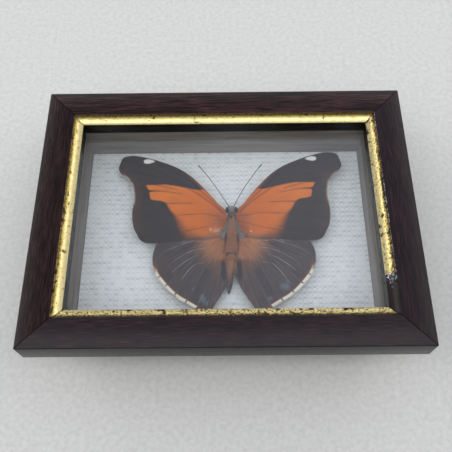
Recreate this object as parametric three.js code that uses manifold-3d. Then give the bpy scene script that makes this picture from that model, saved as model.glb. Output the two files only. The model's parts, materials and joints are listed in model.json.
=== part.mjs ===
// Framed butterfly: a mitred moulding with a gilded scoop holds the glass over a shallow box,
// and one spread butterfly is pinned to the white mount sheet inside.
// Millimetres. +Z points up through the glass, +Y to the top of the picture, origin under the middle.
import * as THREE from "three";
import { mergeVertices } from "three/addons/utils/BufferGeometryUtils.js";
import Module from "manifold-3d";

const wasm = await Module();
wasm.setup();

// Frame
const frameWidth = 180;
const frameDepth = 135;
const totalHeight = 37;
const mouldingHeight = 14;
const woodFaceWidth = 14.2;
const scoopWidth = 3.3;
const scoopDrop = 2.8;
const outerRounding = 0.9;
const mitreGap = 0.3;

// Glass and box
const glassThickness = 2;
const boardThickness = 4.5;
const boardRise = 2.2;
const rabbetClearance = 0.5;
const panelRecess = 3;
const panelThickness = 2;
const sheetThickness = 1;
const pieceGap = 0.3;

// Fixings at the back
const bradRadius = 0.7;
const bradLength = 8;
const bradInWood = 3.5;
const bradSpread = 42;
const hangerLength = 46;
const hangerWidth = 8;
const hangerFoot = 7;
const hangerThickness = 0.8;
const hangerRise = 1.6;
const hangerFromTop = 12;
const toothPitch = 3;
const toothDepth = 1.6;

// Butterfly: placed by its pin, slightly right of the middle and slightly turned
const pinX = 3.1;
const pinY = 5;
const specimenTurn = THREE.MathUtils.degToRad(0.8);
const wingHeight = 11;
const wingArch = 0.9;
const wingSpan = 120;
const wingThickness = 0.4;
const wingStep = 0.75;
const wingRings = 5;
const pinRadius = 0.25;
const pinHeadRadius = 0.6;
const pinTop = 16.2;
const legRadius = 0.3;
const antennaRadius = 0.28;
const clubRadius = 0.5;
const clubLength = 2.6;

// Sizes that follow
const railWidth = woodFaceWidth + scoopWidth;
const sightWidth = frameWidth - 2 * railWidth;
const sightDepth = frameDepth - 2 * railWidth;
const mouldingBottom = totalHeight - mouldingHeight;
const boxHeight = mouldingBottom + boardRise;
const boxWidth = sightWidth + 2 * boardThickness;
const boxDepth = sightDepth + 2 * boardThickness;
const panelTop = panelRecess + panelThickness;
const sheetTop = panelTop + sheetThickness;
const pinHoleRadius = pinRadius + pieceGap;
const bradHoleRadius = bradRadius + pieceGap;

// Wing margins in the butterfly's own plane: distance from the body's axis, then distance ahead of the pin
const forewing = {
  middle: [25, 12],
  root: [3.9, 6],
  costa: [[6.9, 10.8], [11.5, 17.1], [16.4, 23.2], [22, 28.6], [28.3, 33], [35.3, 36.4], [42.9, 39.3],
    [50.4, 41.3], [54.2, 41.5]],
  apex: [[57.7, 40.5], [59, 37.4], [59.8, 33.6], [58, 30.2]],
  margin: [[54.9, 27.5], [52.7, 24.8], [51.4, 20.8], [50.8, 15], [51.2, 7], [50.8, 1.4], [49.9, -2.3]],
  hind: [[48.2, -6], [46.2, -9.3], [42.7, -11.1], [37, -10.9], [25, -9.9], [14, -9.2], [8, -7.4], [3.9, -3.8]],
};
const hindwing = {
  middle: [18, -21],
  root: [3.9, -2.6],
  costa: [[12, -3], [24, -4.6], [33, -7.8]],
  apex: [[37.4, -11], [39.8, -14.6], [40.7, -18.8], [40.4, -24]],
  margin: [[39.3, -27.8], [37.2, -31.2], [32.1, -37.1], [28.2, -40.6], [24, -43.3], [20.4, -45.4], [18.4, -46.8]],
  hind: [[17.4, -48.8], [14.4, -50.2], [11.2, -48.8], [9.4, -45.2], [6.7, -41], [4.5, -37.4], [4.1, -30],
    [4.1, -20], [3.9, -10]],
};

// Body stations from the face to the tail: ahead of pin, sideways, height, half width, half height
const bodyStations = [
  [9.2, 0.3, 11.2, 0.5, 0.5],
  [8.5, 0.3, 11.4, 1.7, 1.6],
  [7, 0.2, 11.5, 2.3, 2.2],
  [5.2, 0.1, 11.3, 1.8, 1.9],
  [3.4, 0, 11.1, 2.9, 3.4],
  [0, 0, 11, 3.5, 4.3],
  [-4, -0.1, 11, 3.45, 4.2],
  [-8, -0.3, 10.9, 3, 3.5],
  [-12, -0.6, 10.6, 2.5, 2.8],
  [-17, -0.9, 10.3, 2.6, 2.9],
  [-22, -1.2, 10, 2.4, 2.6],
  [-27, -1.4, 9.6, 2.1, 2.3],
  [-32, -1.7, 9.2, 1.7, 1.9],
  [-36.4, -1.9, 8.9, 1.2, 1.4],
  [-38.8, -2, 8.8, 0.4, 0.5],
];
const bodySides = 14;
const bodyRings = 48;
const abdomenStart = -10;
const segmentWaist = 0.95;

function solidOf(geometry) {
  const bare = geometry.clone();
  bare.deleteAttribute("normal");
  bare.deleteAttribute("uv");
  const merged = mergeVertices(bare, 1e-4);
  return new wasm.Manifold(new wasm.Mesh({
    numProp: 3,
    vertProperties: merged.attributes.position.array,
    triVerts: new Uint32Array(merged.index.array),
  }));
}

function geometryOf(solid) {
  const mesh = solid.getMesh();
  const geometry = new THREE.BufferGeometry();
  geometry.setAttribute("position", new THREE.BufferAttribute(mesh.vertProperties, 3));
  geometry.setIndex(new THREE.BufferAttribute(mesh.triVerts, 1));
  return geometry;
}

function cut(geometry, ...cutters) {
  return geometryOf(cutters.reduce((solid, cutter) => solid.subtract(solidOf(cutter)), solidOf(geometry)));
}

function join(...geometries) {
  return geometries.map(solidOf).reduce((all, solid) => all.add(solid));
}

function meshOf(name, geometry, color, roughness, metalness = 0) {
  const material = new THREE.MeshStandardMaterial({ color, roughness, metalness });
  geometry.computeVertexNormals();
  const mesh = new THREE.Mesh(geometry, material);
  mesh.name = name;
  return mesh;
}

// A block given by its size and the middle of its underside
function block(width, depth, height, x, y, z) {
  return new THREE.BoxGeometry(width, depth, height).translate(x, y, z + height / 2);
}

function uprightRod(radius, sides, bottom, top, x, y) {
  return new THREE.CylinderGeometry(radius, radius, top - bottom, sides)
    .rotateX(Math.PI / 2)
    .translate(x, y, (bottom + top) / 2);
}

// Moulding section: u runs inward from the outer face, v up from the underside
function mouldingSection() {
  const rabbetWall = railWidth - boardThickness - rabbetClearance;
  const lipUnderside = boardRise + glassThickness;
  const sightTop = mouldingHeight - scoopDrop;
  const section = new THREE.Shape();
  section.moveTo(outerRounding, 0);
  section.lineTo(rabbetWall, 0);
  section.lineTo(rabbetWall, lipUnderside);
  section.lineTo(railWidth, lipUnderside);
  section.lineTo(railWidth, sightTop);
  section.quadraticCurveTo(woodFaceWidth + 0.25 * scoopWidth, sightTop + 0.15 * scoopDrop,
    woodFaceWidth, mouldingHeight);
  section.lineTo(outerRounding, mouldingHeight);
  section.quadraticCurveTo(0, mouldingHeight, 0, mouldingHeight - outerRounding);
  section.lineTo(0, outerRounding);
  section.quadraticCurveTo(0, 0, outerRounding, 0);
  return section;
}

// One rail along X with its outer face at y = 0: both ends are cut back with u, which makes the mitre
function railGeometry(length) {
  const geometry = new THREE.ExtrudeGeometry(mouldingSection(), {
    depth: 1,
    steps: 1,
    bevelEnabled: false,
    curveSegments: 5,
  });
  const position = geometry.attributes.position;
  const endTrim = mitreGap * Math.SQRT1_2;
  for (let i = 0; i < position.count; i += 1) {
    const u = position.getX(i);
    const v = position.getY(i);
    const end = position.getZ(i) > 0.5 ? 1 : -1;
    position.setXYZ(i, end * (length / 2 - u - endTrim), u, v);
  }
  return geometry;
}

function addRails(parent) {
  const wood = [0x3a2a2c, 0.45];
  const rails = [
    ["rail_bottom", frameWidth, frameDepth, 0],
    ["rail_right", frameDepth, frameWidth, 1],
    ["rail_top", frameWidth, frameDepth, 2],
    ["rail_left", frameDepth, frameWidth, 3],
  ];
  for (const [name, length, across, quarterTurns] of rails) {
    const geometry = railGeometry(length)
      .translate(0, -across / 2, mouldingBottom)
      .rotateZ(quarterTurns * Math.PI / 2);
    parent.add(meshOf(name, geometry, ...wood));
  }
}

// A brad lies across the back panel's edge and is driven into the board that faces it
function bradAt(x, y, turn, radius) {
  const rod = new THREE.CylinderGeometry(radius, radius, bradLength, 8);
  rod.translate(0, bradInWood - bradLength / 2, 0);
  return rod.rotateZ(turn).translate(x, y, panelRecess - bradRadius);
}

function addBox(parent) {
  const timber = [0x6d6760, 0.75];
  const steel = [0x8d8a84, 0.4, 0.9];
  const longY = (sightDepth + boardThickness) / 2;
  const shortX = (sightWidth + boardThickness) / 2;
  const brads = {
    box_side_top: [[-bradSpread, sightDepth / 2, 0], [bradSpread, sightDepth / 2, 0]],
    box_side_bottom: [[-bradSpread, -sightDepth / 2, Math.PI], [bradSpread, -sightDepth / 2, Math.PI]],
    box_side_left: [[-sightWidth / 2, 0, Math.PI / 2]],
    box_side_right: [[sightWidth / 2, 0, -Math.PI / 2]],
  };
  const boards = {
    box_side_top: block(boxWidth, boardThickness, boxHeight, 0, longY, 0),
    box_side_bottom: block(boxWidth, boardThickness, boxHeight, 0, -longY, 0),
    box_side_left: block(boardThickness, sightDepth, boxHeight, -shortX, 0, 0),
    box_side_right: block(boardThickness, sightDepth, boxHeight, shortX, 0, 0),
  };
  let bradCount = 0;
  for (const [name, board] of Object.entries(boards)) {
    const holes = brads[name].map(([x, y, turn]) => bradAt(x, y, turn, bradHoleRadius));
    parent.add(meshOf(name, cut(board, ...holes), ...timber));
    for (const [x, y, turn] of brads[name]) {
      bradCount += 1;
      parent.add(meshOf(`brad_${bradCount}`, bradAt(x, y, turn, bradRadius), ...steel));
    }
  }
}

function addGlassAndBacking(parent) {
  const inside = 2 * pieceGap;
  const pinFloor = panelRecess + panelThickness / 4;
  const pinHole = uprightRod(pinHoleRadius, 10, pinFloor, sheetTop + 1, pinX, pinY);
  const panel = block(sightWidth - inside, sightDepth - inside, panelThickness, 0, 0, panelRecess);
  const sheet = block(sightWidth - inside, sightDepth - inside, sheetThickness, 0, 0, panelTop);
  const glass = block(boxWidth, boxDepth, glassThickness, 0, 0, boxHeight);
  parent.add(meshOf("back_panel", cut(panel, pinHole), 0x7a5a3c, 0.8));
  parent.add(meshOf("mount_sheet", cut(sheet, pinHole), 0xd8dee0, 0.8));
  parent.add(meshOf("glass", glass, 0xe8f0f0, 0.05));
}

// Sawtooth hanger: a strip with two feet on the panel and a raised toothed middle
function addHanger(parent) {
  const half = hangerLength / 2;
  const flatHalf = half - hangerFoot;
  const kneeHalf = flatHalf - hangerRise;
  const strip = new THREE.Shape();
  strip.moveTo(-half, 0);
  strip.lineTo(-half, -hangerThickness);
  strip.lineTo(-flatHalf, -hangerThickness);
  strip.lineTo(-kneeHalf, -hangerThickness - hangerRise);
  strip.lineTo(kneeHalf, -hangerThickness - hangerRise);
  strip.lineTo(flatHalf, -hangerThickness);
  strip.lineTo(half, -hangerThickness);
  strip.lineTo(half, 0);
  strip.lineTo(flatHalf, 0);
  strip.lineTo(kneeHalf, -hangerRise);
  strip.lineTo(-kneeHalf, -hangerRise);
  strip.lineTo(-flatHalf, 0);
  strip.closePath();
  const bar = new THREE.ExtrudeGeometry(strip, { depth: hangerWidth, bevelEnabled: false })
    .rotateX(Math.PI / 2);

  const toothCount = Math.floor(2 * kneeHalf / toothPitch);
  const firstTooth = -toothCount * toothPitch / 2;
  const teeth = new THREE.Shape();
  teeth.moveTo(firstTooth, -1);
  for (let i = 0; i < toothCount; i += 1) {
    teeth.lineTo(firstTooth + (i + 0.5) * toothPitch, toothDepth);
    teeth.lineTo(firstTooth + (i + 1) * toothPitch, i === toothCount - 1 ? -1 : 0);
  }
  teeth.closePath();
  const notches = new THREE.ExtrudeGeometry(teeth, { depth: 4 * hangerRise, bevelEnabled: false })
    .translate(0, -hangerWidth, -3 * hangerRise);

  const hanger = cut(bar, notches);
  hanger.translate(0, sightDepth / 2 - hangerFromTop + hangerWidth / 2, panelRecess);
  parent.add(meshOf("hanger", hanger, 0xb09a5a, 0.35, 0.9));
}

// The set wings rise a little from the body and come level again at the tips
function wingRise(distance) {
  return wingArch * Math.sin(Math.PI * Math.min(1, distance / (wingSpan / 2)));
}

// A thin sheet with the wing's margin: rings of points spread from the wing's middle to its edge
function wingGeometry(wing, side, base) {
  const margin = new THREE.Shape();
  margin.moveTo(...wing.root);
  for (const stretch of [wing.costa, wing.apex, wing.margin, wing.hind]) {
    margin.splineThru(stretch.map(([x, y]) => new THREE.Vector2(x, y)));
  }
  const edge = margin.getPoints(2);
  if (edge[edge.length - 1].distanceTo(edge[0]) < pieceGap) {
    edge.pop();
  }
  const [middleX, middleY] = wing.middle;
  const count = edge.length;
  const points = [];
  const faces = [];
  for (const half of [1, -1]) {
    const first = points.length / 3;
    const lift = base + half * wingThickness / 2;
    points.push(side * middleX, middleY, lift + wingRise(middleX));
    for (let ring = 1; ring <= wingRings; ring += 1) {
      for (const point of edge) {
        const x = THREE.MathUtils.lerp(middleX, point.x, ring / wingRings);
        const y = THREE.MathUtils.lerp(middleY, point.y, ring / wingRings);
        points.push(side * x, y, lift + wingRise(x));
      }
    }
    for (let i = 0; i < count; i += 1) {
      const next = (i + 1) % count;
      faces.push(half * side, first, first + 1 + next, first + 1 + i);
      for (let ring = 1; ring < wingRings; ring += 1) {
        const inner = first + 1 + (ring - 1) * count;
        const outer = inner + count;
        faces.push(half * side, inner + i, inner + next, outer + i);
        faces.push(half * side, inner + next, outer + next, outer + i);
      }
    }
  }
  const topRim = 1 + (wingRings - 1) * count;
  const bottomRim = topRim + 1 + wingRings * count;
  for (let i = 0; i < count; i += 1) {
    const next = (i + 1) % count;
    faces.push(side, topRim + i, topRim + next, bottomRim + i);
    faces.push(side, topRim + next, bottomRim + next, bottomRim + i);
  }
  const index = [];
  for (let i = 0; i < faces.length; i += 4) {
    const [facing, a, b, c] = faces.slice(i, i + 4);
    index.push(...(facing > 0 ? [a, b, c] : [a, c, b]));
  }
  const geometry = new THREE.BufferGeometry();
  geometry.setAttribute("position", new THREE.Float32BufferAttribute(points, 3));
  geometry.setIndex(index);
  return geometry;
}

// Head, thorax and ringed abdomen as one loft of ellipses
function bodyGeometry() {
  const centres = new THREE.CatmullRomCurve3(bodyStations.map(([y, x, z]) => new THREE.Vector3(x, y, z)));
  const girths = new THREE.CatmullRomCurve3(
    bodyStations.map(([, , , halfWidth, halfHeight]) => new THREE.Vector3(halfWidth, halfHeight, 0)));
  const points = [];
  for (let ring = 0; ring <= bodyRings; ring += 1) {
    const centre = centres.getPoint(ring / bodyRings);
    const girth = girths.getPoint(ring / bodyRings);
    const waist = centre.y < abdomenStart && ring % 2 === 1 ? segmentWaist : 1;
    for (let i = 0; i < bodySides; i += 1) {
      const angle = 2 * Math.PI * i / bodySides;
      points.push(centre.x + waist * girth.x * Math.cos(angle), centre.y,
        centre.z + waist * girth.y * Math.sin(angle));
    }
  }
  const index = [];
  for (let ring = 0; ring < bodyRings; ring += 1) {
    for (let i = 0; i < bodySides; i += 1) {
      const a = ring * bodySides + i;
      const b = ring * bodySides + (i + 1) % bodySides;
      index.push(a, b, a + bodySides, b, b + bodySides, a + bodySides);
    }
  }
  const tail = bodyRings * bodySides;
  for (let i = 1; i < bodySides - 1; i += 1) {
    index.push(0, i + 1, i, tail, tail + i, tail + i + 1);
  }
  const geometry = new THREE.BufferGeometry();
  geometry.setAttribute("position", new THREE.Float32BufferAttribute(points, 3));
  geometry.setIndex(index);
  return geometry;
}

function tubeAlong(points, radius, steps) {
  const circle = new THREE.Shape(new THREE.EllipseCurve(0, 0, radius, radius).getPoints(6).slice(0, -1));
  const path = new THREE.CatmullRomCurve3(points.map((point) => new THREE.Vector3(...point)));
  return new THREE.ExtrudeGeometry(circle, { extrudePath: path, steps, bevelEnabled: false });
}

function egg(width, depth, height, x, y, z) {
  return new THREE.SphereGeometry(1, 10, 8).scale(width / 2, depth / 2, height / 2).translate(x, y, z);
}

// Eye, palp, clubbed antenna and the two folded walking legs of one side
function sideParts(side) {
  const tip = new THREE.Vector3(side * 17, 34.2, 11.8);
  const bend = new THREE.Vector3(side * 8.4, 21.2, 12.4);
  const clubTurn = Math.atan2(bend.x - tip.x, tip.y - bend.y);
  const club = egg(2 * clubRadius, clubLength, 2 * clubRadius, 0, -clubLength / 3, 0)
    .rotateZ(clubTurn)
    .translate(tip.x, tip.y, tip.z);
  const parts = [
    egg(2.6, 3, 3.2, side * 2.1 + 0.2, 7.3, 11.7),
    egg(0.9, 2.6, 1, side * 0.6 + 0.2, 9.2, 11),
    tubeAlong([[side * 0.9 + 0.2, 7.6, 12.6], bend.toArray(), tip.toArray()], antennaRadius, 10),
    club,
  ];
  for (const pair of [0, 1]) {
    const hip = [side * 1.2, 1.5 - 5 * pair, 8];
    const knee = [side * 5.2, 3.2 - 6 * pair, 8.2];
    const ankle = [side * 4.2, -4.6 - 6 * pair, 6.9];
    const toe = [side * 3, -9.4 - 6 * pair, 6.7];
    parts.push(tubeAlong([hip, knee, ankle, toe], legRadius, 10));
  }
  return parts;
}

function addButterfly(parent) {
  const specimen = new THREE.Group();
  specimen.position.set(pinX, pinY, 0);
  specimen.rotation.z = specimenTurn;
  for (const [sideName, side] of [["left", -1], ["right", 1]]) {
    const fore = wingGeometry(forewing, side, wingHeight);
    const hind = wingGeometry(hindwing, side, wingHeight - wingStep);
    specimen.add(meshOf(`forewing_${sideName}`, fore, 0x8a4a2a, 0.85));
    specimen.add(meshOf(`hindwing_${sideName}`, hind, 0x3c3838, 0.85));
  }
  const whole = join(bodyGeometry(), ...sideParts(-1), ...sideParts(1));
  const pinHole = solidOf(uprightRod(pinHoleRadius, 10, sheetTop, pinTop + 1, 0, 0));
  specimen.add(meshOf("body", geometryOf(whole.subtract(pinHole)), 0x6e4c3a, 0.9));

  const pinPoint = panelRecess + panelThickness / 4 + pieceGap;
  const shoulder = pinTop - Math.sqrt(pinHeadRadius ** 2 - pinRadius ** 2);
  const headStart = Math.asin(pinRadius / pinHeadRadius);
  const profile = [new THREE.Vector2(0, pinPoint), new THREE.Vector2(pinRadius, pinPoint + 4 * pinRadius)];
  for (let i = 0; i <= 5; i += 1) {
    const angle = THREE.MathUtils.lerp(headStart, Math.PI, i / 5);
    const height = i === 0 ? shoulder : pinTop - pinHeadRadius * Math.cos(angle);
    profile.push(new THREE.Vector2(i === 5 ? 0 : pinHeadRadius * Math.sin(angle), height));
  }
  const pin = new THREE.LatheGeometry(profile, 10).rotateX(Math.PI / 2);
  specimen.add(meshOf("pin", pin, 0x1c1a1a, 0.35, 0.8));
  parent.add(specimen);
}

const part = new THREE.Group();
addRails(part);
addBox(part);
addGlassAndBacking(part);
addHanger(part);
addButterfly(part);

export default part;
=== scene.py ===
import json
import math

import bpy
import numpy as np
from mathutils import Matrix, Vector

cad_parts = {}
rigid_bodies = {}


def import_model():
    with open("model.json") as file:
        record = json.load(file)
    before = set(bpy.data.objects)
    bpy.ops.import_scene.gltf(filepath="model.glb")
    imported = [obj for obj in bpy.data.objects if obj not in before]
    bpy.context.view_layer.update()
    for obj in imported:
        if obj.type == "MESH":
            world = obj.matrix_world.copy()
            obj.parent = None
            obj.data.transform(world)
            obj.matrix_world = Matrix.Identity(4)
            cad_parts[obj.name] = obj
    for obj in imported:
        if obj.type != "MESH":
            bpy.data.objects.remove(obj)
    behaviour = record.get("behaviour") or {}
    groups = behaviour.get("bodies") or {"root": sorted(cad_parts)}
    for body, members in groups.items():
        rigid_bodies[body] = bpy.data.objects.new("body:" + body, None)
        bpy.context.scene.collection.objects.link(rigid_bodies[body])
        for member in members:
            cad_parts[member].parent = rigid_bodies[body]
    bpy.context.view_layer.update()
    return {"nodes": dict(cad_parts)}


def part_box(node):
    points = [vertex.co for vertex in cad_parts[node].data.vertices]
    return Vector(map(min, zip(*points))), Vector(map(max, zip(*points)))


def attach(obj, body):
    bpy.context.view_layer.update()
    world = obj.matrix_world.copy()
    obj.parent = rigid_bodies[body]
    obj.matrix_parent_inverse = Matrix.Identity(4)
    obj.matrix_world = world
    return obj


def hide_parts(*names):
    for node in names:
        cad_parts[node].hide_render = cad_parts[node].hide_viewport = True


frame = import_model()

mm = 0.001
rng = np.random.default_rng(379)


# camera, dome light and floor

cameraSet = {
    "place": (2.251 * mm, -137.045 * mm, 292.643 * mm),
    "turn": (26.372, 0.551, -0.336),   # degrees
    "lens": 49.09,
}
domeLight = {
    "towards": (-0.15, 0.58, 0.80),        # where the soft light is strongest
    "fade": (-0.25, 0.95),                 # from the dim side to the bright one
    "dim": 0.10,
    "bright": 3.65,
    "rear": 0.40,                          # how much of it is left low down in the middle of the back
    "rearWide": (0.35, 0.6),
    "rearLow": (0.72, 0.94),
    "tint": (0.975, 0.985, 1.0),
    "flagTowards": (-0.04, 0.50, 0.865),   # a flag that keeps the glass from mirroring the dome
    "flagWide": 0.7,                       # below 1 it is wider than high
    "flagEdge": (0.77, 0.92),
    "flagLeft": (0.147, 0.153, 0.172),
    "flagRight": (0.226, 0.237, 0.277),
}
floorSet = {
    "size": 6.0,
    "colour": (0.465, 0.462, 0.447),
    "worn": (0.39, 0.387, 0.375),
    "fleck": (0.15, 0.14, 0.13),
}


def select(obj):
    bpy.ops.object.select_all(action="DESELECT")
    obj.select_set(True)
    bpy.context.view_layer.objects.active = obj


def started(name):
    obj = bpy.context.active_object
    obj.name = name
    obj.data.name = name
    return obj


def addObject(name, data):
    obj = bpy.data.objects.new(name, data)
    bpy.context.scene.collection.objects.link(obj)
    return obj


def applyPlace():
    bpy.ops.object.transform_apply(location=True, rotation=True, scale=True)


def addCamera():
    data = bpy.data.cameras.new("photoCamera")
    data.lens = cameraSet["lens"]
    data.clip_start = 0.01
    camera = addObject("photoCamera", data)
    camera.location = cameraSet["place"]
    camera.rotation_euler = [math.radians(a) for a in cameraSet["turn"]]
    bpy.context.scene.camera = camera
    bpy.context.scene.view_settings.view_transform = "Standard"


# small helpers for shader trees

def addNode(tree, kind, inputs=None, **settings):
    node = tree.nodes.new(kind)
    for key, value in settings.items():
        setattr(node, key, value)
    for key, value in (inputs or {}).items():
        if isinstance(value, bpy.types.NodeSocket):
            tree.links.new(value, node.inputs[key])
        else:
            node.inputs[key].default_value = value
    return node


def calc(tree, operation, first, second=0.0):
    return addNode(tree, "ShaderNodeMath", {0: first, 1: second}, operation=operation).outputs[0]


def times(tree, first, second):
    return calc(tree, "MULTIPLY", first, second)


def plus(tree, first, second):
    return calc(tree, "ADD", first, second)


def minus(tree, first, second):
    return calc(tree, "SUBTRACT", first, second)


def swing(tree, value, most):
    # a pattern about 0.5 becomes one about zero
    return times(tree, minus(tree, value, 0.5), most)


def ramp(tree, value, low, high, toLow=0.0, toHigh=1.0):
    inputs = {"Value": value, "From Min": low, "From Max": high, "To Min": toLow, "To Max": toHigh}
    return addNode(tree, "ShaderNodeMapRange", inputs, interpolation_type="SMOOTHSTEP").outputs[0]


def mixColour(tree, amount, first, second):
    inputs = {0: amount, 6: solid(first), 7: solid(second)}
    return addNode(tree, "ShaderNodeMix", inputs, data_type="RGBA").outputs[2]


def solid(colour):
    return (*colour, 1.0) if isinstance(colour, tuple) and len(colour) == 3 else colour


def vector(tree, x, y, z=0.0):
    return addNode(tree, "ShaderNodeCombineXYZ", {0: x, 1: y, 2: z}).outputs[0]


def noise(tree, place, scale=1.0, detail=2.0, rough=0.5, warp=0.0):
    inputs = {"Vector": place, "Scale": scale, "Detail": detail, "Roughness": rough, "Distortion": warp}
    return addNode(tree, "ShaderNodeTexNoise", inputs).outputs[0]


def painted(tree, name):
    return addNode(tree, "ShaderNodeAttribute", attribute_name=name).outputs["Fac"]


def byMark(tree, name, *limits):
    return ramp(tree, painted(tree, name), *limits)


def surfaceMap(tree, name):
    place = addNode(tree, "ShaderNodeUVMap", uv_map=name).outputs[0]
    return addNode(tree, "ShaderNodeSeparateXYZ", {0: place}).outputs


def objectPlace(tree):
    return addNode(tree, "ShaderNodeTexCoord").outputs["Object"]


def feed(tree, node, **sockets):
    for key, value in sockets.items():
        tree.links.new(value, node.inputs[key.replace("_", " ")])


def raised(tree, shader, height, strength, distance):
    inputs = {"Height": height, "Strength": strength, "Distance": distance}
    feed(tree, shader, Normal=addNode(tree, "ShaderNodeBump", inputs).outputs[0])


def newFinish(name, roughness=0.5):
    finish = bpy.data.materials.new(name)
    finish.use_nodes = True
    shader = finish.node_tree.nodes["Principled BSDF"]
    shader.inputs["Roughness"].default_value = roughness
    return finish, finish.node_tree, shader


def newEffect(name, inputs, outputs):
    effect = bpy.data.node_groups.new(name, "ShaderNodeTree")
    for label, value in inputs.items():
        kind = "NodeSocketVector" if value is None else "NodeSocketFloat"
        socket = effect.interface.new_socket(name=label, in_out="INPUT", socket_type=kind)
        if value is not None:
            socket.default_value = value
    for label in outputs:
        effect.interface.new_socket(name=label, in_out="OUTPUT", socket_type="NodeSocketFloat")
    source = effect.nodes.new("NodeGroupInput").outputs
    return effect, source, effect.nodes.new("NodeGroupOutput")


def useEffect(tree, effect, **inputs):
    return addNode(tree, "ShaderNodeGroup", inputs, node_tree=effect).outputs


# effects that several finishes share

def makeGrain():
    # streaks that run along a board or rail: Length and Width are a streak's own size
    inputs = {"Along": 0.0, "Across": 0.0, "Seed": 0.0, "Length": 0.02, "Width": 0.0006}
    effect, source, sink = newEffect("woodStreaks", inputs, ["Fine", "Broad"])
    along = calc(effect, "DIVIDE", source["Along"], source["Length"])
    across = calc(effect, "DIVIDE", source["Across"], source["Width"])
    waver = noise(effect, vector(effect, along, source["Seed"]), 1.5)
    across = plus(effect, across, times(effect, waver, 2.0))
    fine = noise(effect, vector(effect, along, across, source["Seed"]), 1.0, 3.0, 0.6)
    slow = times(effect, across, 0.16)
    broad = noise(effect, vector(effect, times(effect, along, 0.4), slow, source["Seed"]))
    feed(effect, sink, Fine=fine, Broad=broad)
    return effect


def makeFlecks():
    # scattered worn spots: Amount 0 is none, 1 is everywhere
    inputs = {"Place": None, "Size": 0.001, "Amount": 0.3}
    effect, source, sink = newEffect("wornFlecks", inputs, ["Mask", "Halo", "Tone"])
    scale = calc(effect, "DIVIDE", 1.0, source["Size"])
    coarse = noise(effect, source["Place"], scale, 4.0, 0.62)
    edge = minus(effect, 0.78, times(effect, source["Amount"], 0.5))
    over = minus(effect, coarse, edge)
    halo = ramp(effect, over, -0.07, 0.0)
    feed(effect, sink, Mask=ramp(effect, over, -0.03, 0.03), Halo=halo, Tone=coarse)
    return effect


def makeFelt():
    # short matted fibres of paper and pressed board
    inputs = {"Place": None, "Size": 0.0004}
    effect, source, sink = newEffect("feltedFibres", inputs, ["Height", "Cloud"])
    scale = calc(effect, "DIVIDE", 1.0, source["Size"])
    fibres = noise(effect, source["Place"], scale, 4.0, 0.5, 1.2)
    cloud = noise(effect, source["Place"], times(effect, scale, 0.02))
    feed(effect, sink, Height=fibres, Cloud=cloud)
    return effect


def makeScaleRows():
    # wing scales lie in rows that fan out from the wing's root
    inputs = {"Around": 0.0, "Out": 0.0}
    effect, source, sink = newEffect("scaleRows", inputs, ["Streak", "Scale", "Cloud"])

    def stretched(aroundScale, outScale, detail, rough):
        around = times(effect, source["Around"], aroundScale)
        out = times(effect, source["Out"], outScale)
        return noise(effect, vector(effect, around, out), 1.0, detail, rough)

    feed(effect, sink, Streak=stretched(55.0, 160.0, 3.0, 0.6), Scale=stretched(130.0, 1500.0, 2.0, 0.6),
         Cloud=stretched(7.0, 150.0, 3.0, 0.5))
    return effect


woodStreaks = makeGrain()
wornFlecks = makeFlecks()
feltedFibres = makeFelt()
scaleRows = makeScaleRows()


def addDome():
    world = bpy.data.worlds.new("softDome")
    world.use_nodes = True
    bpy.context.scene.world = world
    tree = world.node_tree
    heading = addNode(tree, "ShaderNodeTexCoord").outputs["Generated"]
    compass = addNode(tree, "ShaderNodeSeparateXYZ", {0: heading}).outputs

    def turned(operation, first, second=(0, 0, 0)):
        return addNode(tree, "ShaderNodeVectorMath", {0: first, 1: second}, operation=operation).outputs

    facing = turned("DOT_PRODUCT", heading, Vector(domeLight["towards"]).normalized())["Value"]
    strength = ramp(tree, facing, *domeLight["fade"], domeLight["dim"], domeLight["bright"])
    aside = calc(tree, "ABSOLUTE", compass[0])
    central = ramp(tree, aside, *domeLight["rearWide"], domeLight["rear"], 1.0)
    strength = times(tree, strength, ramp(tree, compass[1], *domeLight["rearLow"], 1.0, central))

    squash = Vector((domeLight["flagWide"], 1, 1))
    flag = (Vector(domeLight["flagTowards"]) * squash).normalized()
    squashed = turned("NORMALIZE", turned("MULTIPLY", heading, squash)[0])[0]
    shade = ramp(tree, turned("DOT_PRODUCT", squashed, flag)["Value"], *domeLight["flagEdge"])
    across = ramp(tree, compass[0], -0.2, 0.2)
    flagged = mixColour(tree, across, domeLight["flagLeft"], domeLight["flagRight"])
    feed(tree, tree.nodes["Background"], Color=mixColour(tree, shade, domeLight["tint"], flagged),
         Strength=strength)


def addFloor():
    bpy.ops.object.select_all(action="DESELECT")
    bpy.ops.mesh.primitive_plane_add(size=floorSet["size"])
    floor = started("floor")
    finish, tree, shader = newFinish("paleFloor", 0.75)
    place = objectPlace(tree)
    cloud = noise(tree, place, 420.0, 5.0, 0.65)
    colour = mixColour(tree, ramp(tree, cloud, 0.3, 0.75), floorSet["colour"], floorSet["worn"])
    grit = useEffect(tree, wornFlecks, Place=place, Size=3.0 * mm, Amount=0.02)
    feed(tree, shader, Base_Color=mixColour(tree, grit["Mask"], colour, floorSet["fleck"]))
    raised(tree, shader, cloud, 0.3, 0.3 * mm)
    floor.data.materials.append(finish)


addCamera()
addDome()
addFloor()
print("stage: camera, dome and floor")


# modelling helpers

def editAll(obj):
    select(obj)
    bpy.ops.object.mode_set(mode="EDIT")
    bpy.ops.mesh.select_all(action="SELECT")


def doneEditing():
    bpy.ops.object.mode_set(mode="OBJECT")


def faceOutward():
    bpy.ops.mesh.select_all(action="SELECT")
    bpy.ops.mesh.normals_make_consistent(inside=False)
    doneEditing()


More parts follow.
